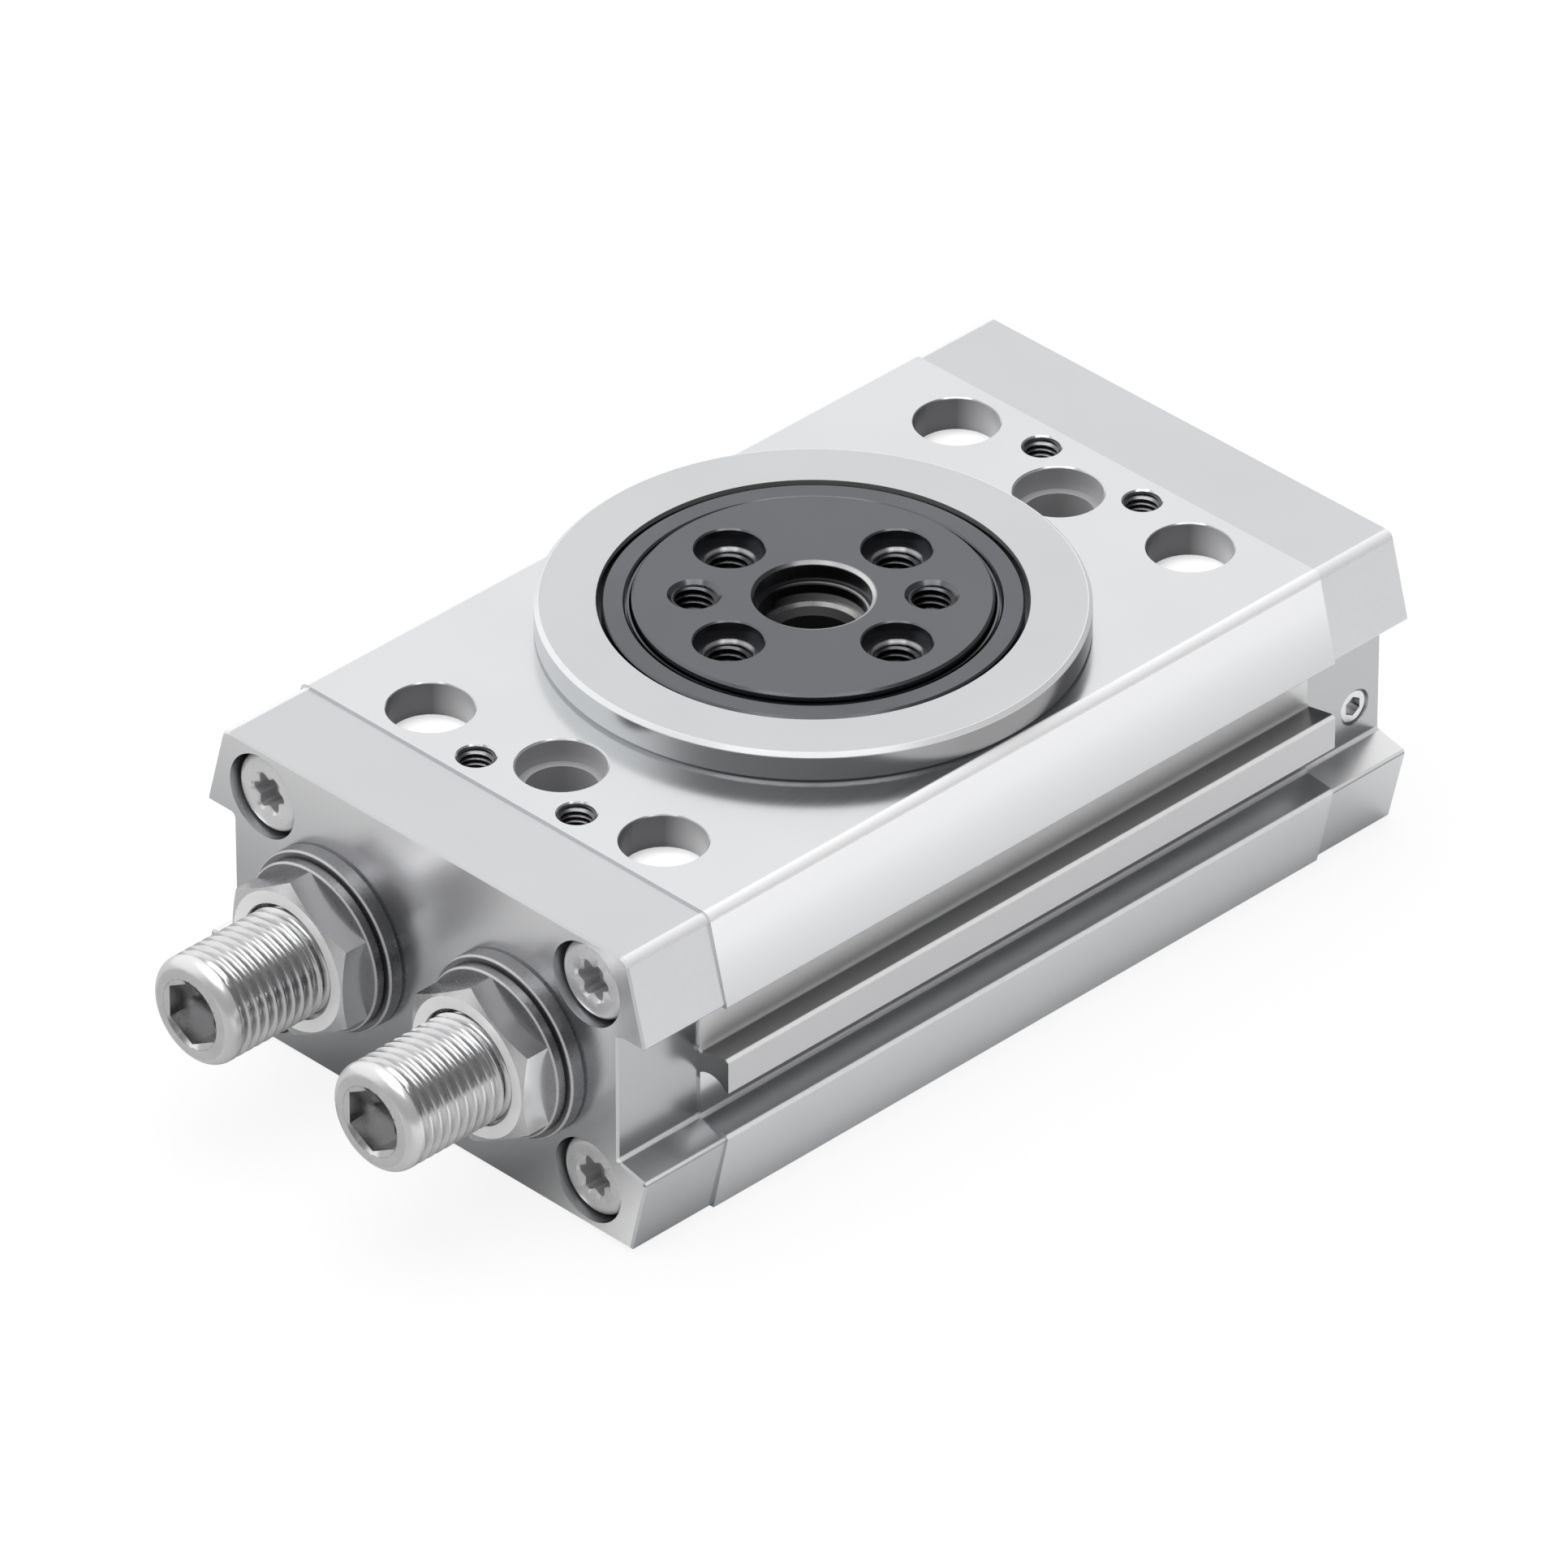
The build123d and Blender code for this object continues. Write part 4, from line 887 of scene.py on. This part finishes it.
# %% Cap screws
def cap_screw(shape, place, shank_length):
    """One screw, with the foot of its head at the placing's origin."""
    mouth = star_radius + star_swing + mouth_flare
    rim = rounded_rim(head_radius, rim_round, head_height, 8)
    head = [(shank_radius, 0), (head_radius, 0)] + rim + [(mouth, head_height)]
    add_turned(shape, place, head, star_points)
    add_walls(shape, place, (
        circle(mouth, head_height, 0, star_points),
        star(star_radius, star_swing, head_height - mouth_cone, star_points),
        star(star_radius, star_swing, head_height - star_depth, star_points),
        circle(tip_radius, head_height - star_depth - star_tip, 0, star_points),
    ))
    add_turned(shape, place, ((shank_radius, 0), (shank_radius, -shank_length)), star_points)
    add_walls(shape, place, (circle(shank_radius, -shank_length, 0, star_points),))


for end, outwards in (("front", -1), ("rear", 1)):
    low_corner, high_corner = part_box(f"{end}_cap_screws")
    face = high_corner.y if outwards > 0 else low_corner.y
    shank_length = high_corner.y - low_corner.y - head_height
    shape = bmesh.new()
    for x in (low_corner.x + head_radius, high_corner.x - head_radius):
        for z in (low_corner.z + head_radius, high_corner.z - head_radius):
            place = look_along(Vector((x, face - outwards * head_height, z)), (0, outwards, 0))
            cap_screw(shape, place, shank_length)
    screws = make_piece(f"{end}_star_screws", shape, head_steel, "housing_body")
    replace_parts(screws, f"{end}_cap_screws")

# %% [markdown]
# ## Threads inside the holes
# The holes in the flange and in the body's top are tapped. Looking in, the thread shows as fine dark and
# bright lines on the far wall. Each is a helical surface that starts a little below the mouth and lies
# just inside the plain wall of the solid, so that it hides that wall.

# %% A tapped hole
tapped_steps = 48
thread_height_share = 0.54
wall_gap = 0.02 * MM
lead_in = 0.3 * MM


def tapped(shape, spot, mouth, depth, radius, pitch):
    """One inside thread, from below its mouth downwards."""
    crest = radius - thread_height_share * pitch
    wall = radius - wall_gap
    profile = ((0.0, wall), (0.12, wall), (0.45, crest), (0.62, crest), (0.95, wall))
    place = Matrix.Translation((*spot, mouth - depth))

    def widened(level, thread_radius):
        """Opens the thread towards its mouth."""
        return min(wall, thread_radius + max(0.0, level - depth + lead_in))

    add_thread(shape, place, 0.0, depth, pitch, profile, widened, tapped_steps)


print("tapped holes have", tapped_steps, "points round")

# %% [markdown]
# ## Where the tapped holes are
# The flange has six on one circle: four below the sleeve seats, at a quarter turn each, and two plain
# ones between them. The body's top has four. A thread's size is its radius and its pitch.

# %% Tapped holes
plain_mouth = 0.5 * MM
sleeve_seat_depth = 2.45 * MM
six_millimetre = (3.0 * MM, 1.0 * MM)
five_millimetre = (2.5 * MM, 0.8 * MM)


def on_circle(angle):
    """X and Y of a hole on the flange's circle."""
    return hole_circle * math.cos(angle), hole_circle * math.sin(angle)


flange_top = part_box("drive_flange")[1].z
flange_threads = bmesh.new()
for k in range(4):
    tapped(flange_threads, on_circle(TURN * k / 4), flange_top - sleeve_seat_depth, 6.4 * MM, *six_millimetre)
for angle in (TURN / 8, TURN * 5 / 8):
    tapped(flange_threads, on_circle(angle), flange_top - plain_mouth, 8.4 * MM, *six_millimetre)
make_piece("flange_tapped_holes", flange_threads, thread_steel, "flange_body")

body_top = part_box("housing")[1].z
top_threads = bmesh.new()
for x in (-9.0 * MM, 9.0 * MM):
    for y in (-50.5 * MM, 50.5 * MM):
        tapped(top_threads, (x, y), body_top - plain_mouth, 9.4 * MM, *five_millimetre)
# Painted shade: these threads are dark, unlike the body's pale aluminium.
make_piece("top_tapped_holes", top_threads, thread_aluminium_painted_shade, "housing_body")

# %% [markdown]
# ## The floor
# The drive stands on a wide pale plane that reaches far past the picture and takes its shadow. It lies a
# tenth of a millimetre below the drive, so that the two never share a surface.

# %% Floor plane
floor_half = 6.0
below_drive = 0.0001

floor_mesh = bpy.data.meshes.new("floor")
floor_corners = [(x * floor_half, y * floor_half, 0) for x, y in ((-1, -1), (1, -1), (1, 1), (-1, 1))]
floor_mesh.from_pydata(floor_corners, [], [(0, 1, 2, 3)])
floor = bpy.data.objects.new("floor", floor_mesh)
bpy.context.scene.collection.objects.link(floor)
floor.location.z = frame_box[0][2] - below_drive
print("floor at", floor.location.z)

# %% [markdown]
# ## A floor that turns white and keeps the shadow
# The photograph has a pure white ground. For rays that come straight from the camera the floor glows, so
# that it turns white without more light on the metal. Mirrored rays see a little of that glow too. For
# them the floor is darker in front of the drive on its left, because the faces that mirror that part are
# grey in the photograph.

# %% Floor material
def ray_share(tree, camera_share, mirror_share):
    """A factor that is one share for camera rays and another for mirrored and transmitted rays."""
    path = tree.nodes.new("ShaderNodeLightPath")
    mirrored = number_math(tree, "MAXIMUM", path.outputs["Is Glossy Ray"],
                           path.outputs["Is Transmission Ray"])
    from_camera = number_math(tree, "MULTIPLY", path.outputs["Is Camera Ray"], camera_share)
    return number_math(tree, "ADD", from_camera, number_math(tree, "MULTIPLY", mirrored, mirror_share))


floor_material, tree, shader, place = start_material("pale_floor")
shade = tree.nodes.new("ShaderNodeMix")
shade.data_type = "RGBA"
shade.inputs["A"].default_value = (0.85, 0.85, 0.85, 1)
shade.inputs["B"].default_value = (0.42, 0.42, 0.42, 1)
# Painted shade on the floor, seen only by mirrored rays: darker in front of the drive on its left.
front_left_painted_shade = rising(tree, place, (-0.707, -0.707, 0), 0.0 * MM, 60 * MM)
tree.links.new(product(tree, front_left_painted_shade, ray_share(tree, 0.0, 1.0)), shade.inputs["Factor"])
tree.links.new(shade.outputs["Result"], shader.inputs["Base Color"])
shader.inputs["Roughness"].default_value = 0.9
shader.inputs["Specular IOR Level"].default_value = 0.0

glow = tree.nodes.new("ShaderNodeEmission")
glow.inputs["Color"].default_value = (1, 1, 1, 1)
glow.inputs["Strength"].default_value = 1.0
blend = tree.nodes.new("ShaderNodeMixShader")
tree.links.new(ray_share(tree, 0.88, 0.06), blend.inputs["Fac"])
tree.links.new(shader.outputs["BSDF"], blend.inputs[1])
tree.links.new(glow.outputs["Emission"], blend.inputs[2])
tree.links.new(blend.outputs["Shader"], tree.nodes["Material Output"].inputs["Surface"])
floor_mesh.materials.append(floor_material)
print("floor material", floor_material.name, "with", len(tree.nodes), "nodes")

# %% [markdown]
# ## The sky
# Metal looks like what it mirrors. In the photograph the faces that mirror the left are bright and those
# that mirror the right are darker, so the sky runs from bright on the left to dark on the right, with a
# soft step between. Camera rays see a plain white world instead, at a strength of 1, so the background
# stays white.

# %% World
bright_side = (-0.9, 0.0, 0.436)
dark_sky, bright_sky = 0.22, 1.10
step_start, step_end = 0.25, 0.70

world = bpy.data.worlds.new("studio")
bpy.context.scene.world = world
world.use_nodes = True
tree = world.node_tree
sky = tree.nodes["Background"]
sky.inputs["Color"].default_value = (1, 1, 1, 1)
directions = tree.nodes.new("ShaderNodeTexCoord").outputs["Generated"]
towards_light = vector_math(tree, "DOT_PRODUCT", directions, bright_side)
gradient = remap(tree, towards_light, step_start, step_end, dark_sky, bright_sky, "SMOOTHSTEP")
strength = tree.nodes.new("ShaderNodeMix")
strength.data_type = "FLOAT"
strength.inputs["B"].default_value = 1.0
tree.links.new(tree.nodes.new("ShaderNodeLightPath").outputs["Is Camera Ray"], strength.inputs["Factor"])
tree.links.new(gradient, strength.inputs["A"])
tree.links.new(strength.outputs["Result"], sky.inputs["Strength"])
print("sky from", dark_sky, "to", bright_sky)

# %% [markdown]
# ## One lamp above
# A large square lamp hangs over the drive, a little to its front right. Its size keeps the shadows soft,
# and the shadow under the collar comes from it.

# %% Lamp
def softbox(name, place, size, power):
    """A square lamp that looks at the drive."""
    lamp = bpy.data.lights.new(name, "AREA")
    lamp.shape = "SQUARE"
    lamp.size = size
    lamp.energy = power
    holder = bpy.data.objects.new(name, lamp)
    bpy.context.scene.collection.objects.link(holder)
    holder.location = place
    drive_middle = Vector((0, 0, 0.02))
    holder.rotation_euler = (drive_middle - Vector(place)).to_track_quat("-Z", "Y").to_euler()
    return holder


top_softbox = softbox("top_softbox", (0.1, -0.1, 1.5), 1.4, 22.5)
print("lamp", top_softbox.name, "at", [round(c, 2) for c in top_softbox.location])

# %% [markdown]
# ## Camera
# The camera stands where the photograph was taken from: halfway between the front and the right side, 34
# degrees up, far away with a long lens, so that parallel edges stay almost parallel.

# %% Camera
bpy.context.scene.view_settings.view_transform = "Standard"
looked_at = Vector((-0.001614, -0.003600, 0.020937))
camera_data = bpy.data.cameras.new("camera")
camera_data.sensor_width = 36.0
camera_data.lens = 380.7
camera_data.clip_end = 50.0
camera = bpy.data.objects.new("camera", camera_data)
bpy.context.scene.collection.objects.link(camera)
camera.location = (1.23715, -1.23558, 1.20195)
camera.rotation_euler = (looked_at - camera.location).to_track_quat("-Z", "Y").to_euler()
bpy.context.scene.camera = camera
print("camera", round((looked_at - camera.location).length, 3), "m away")
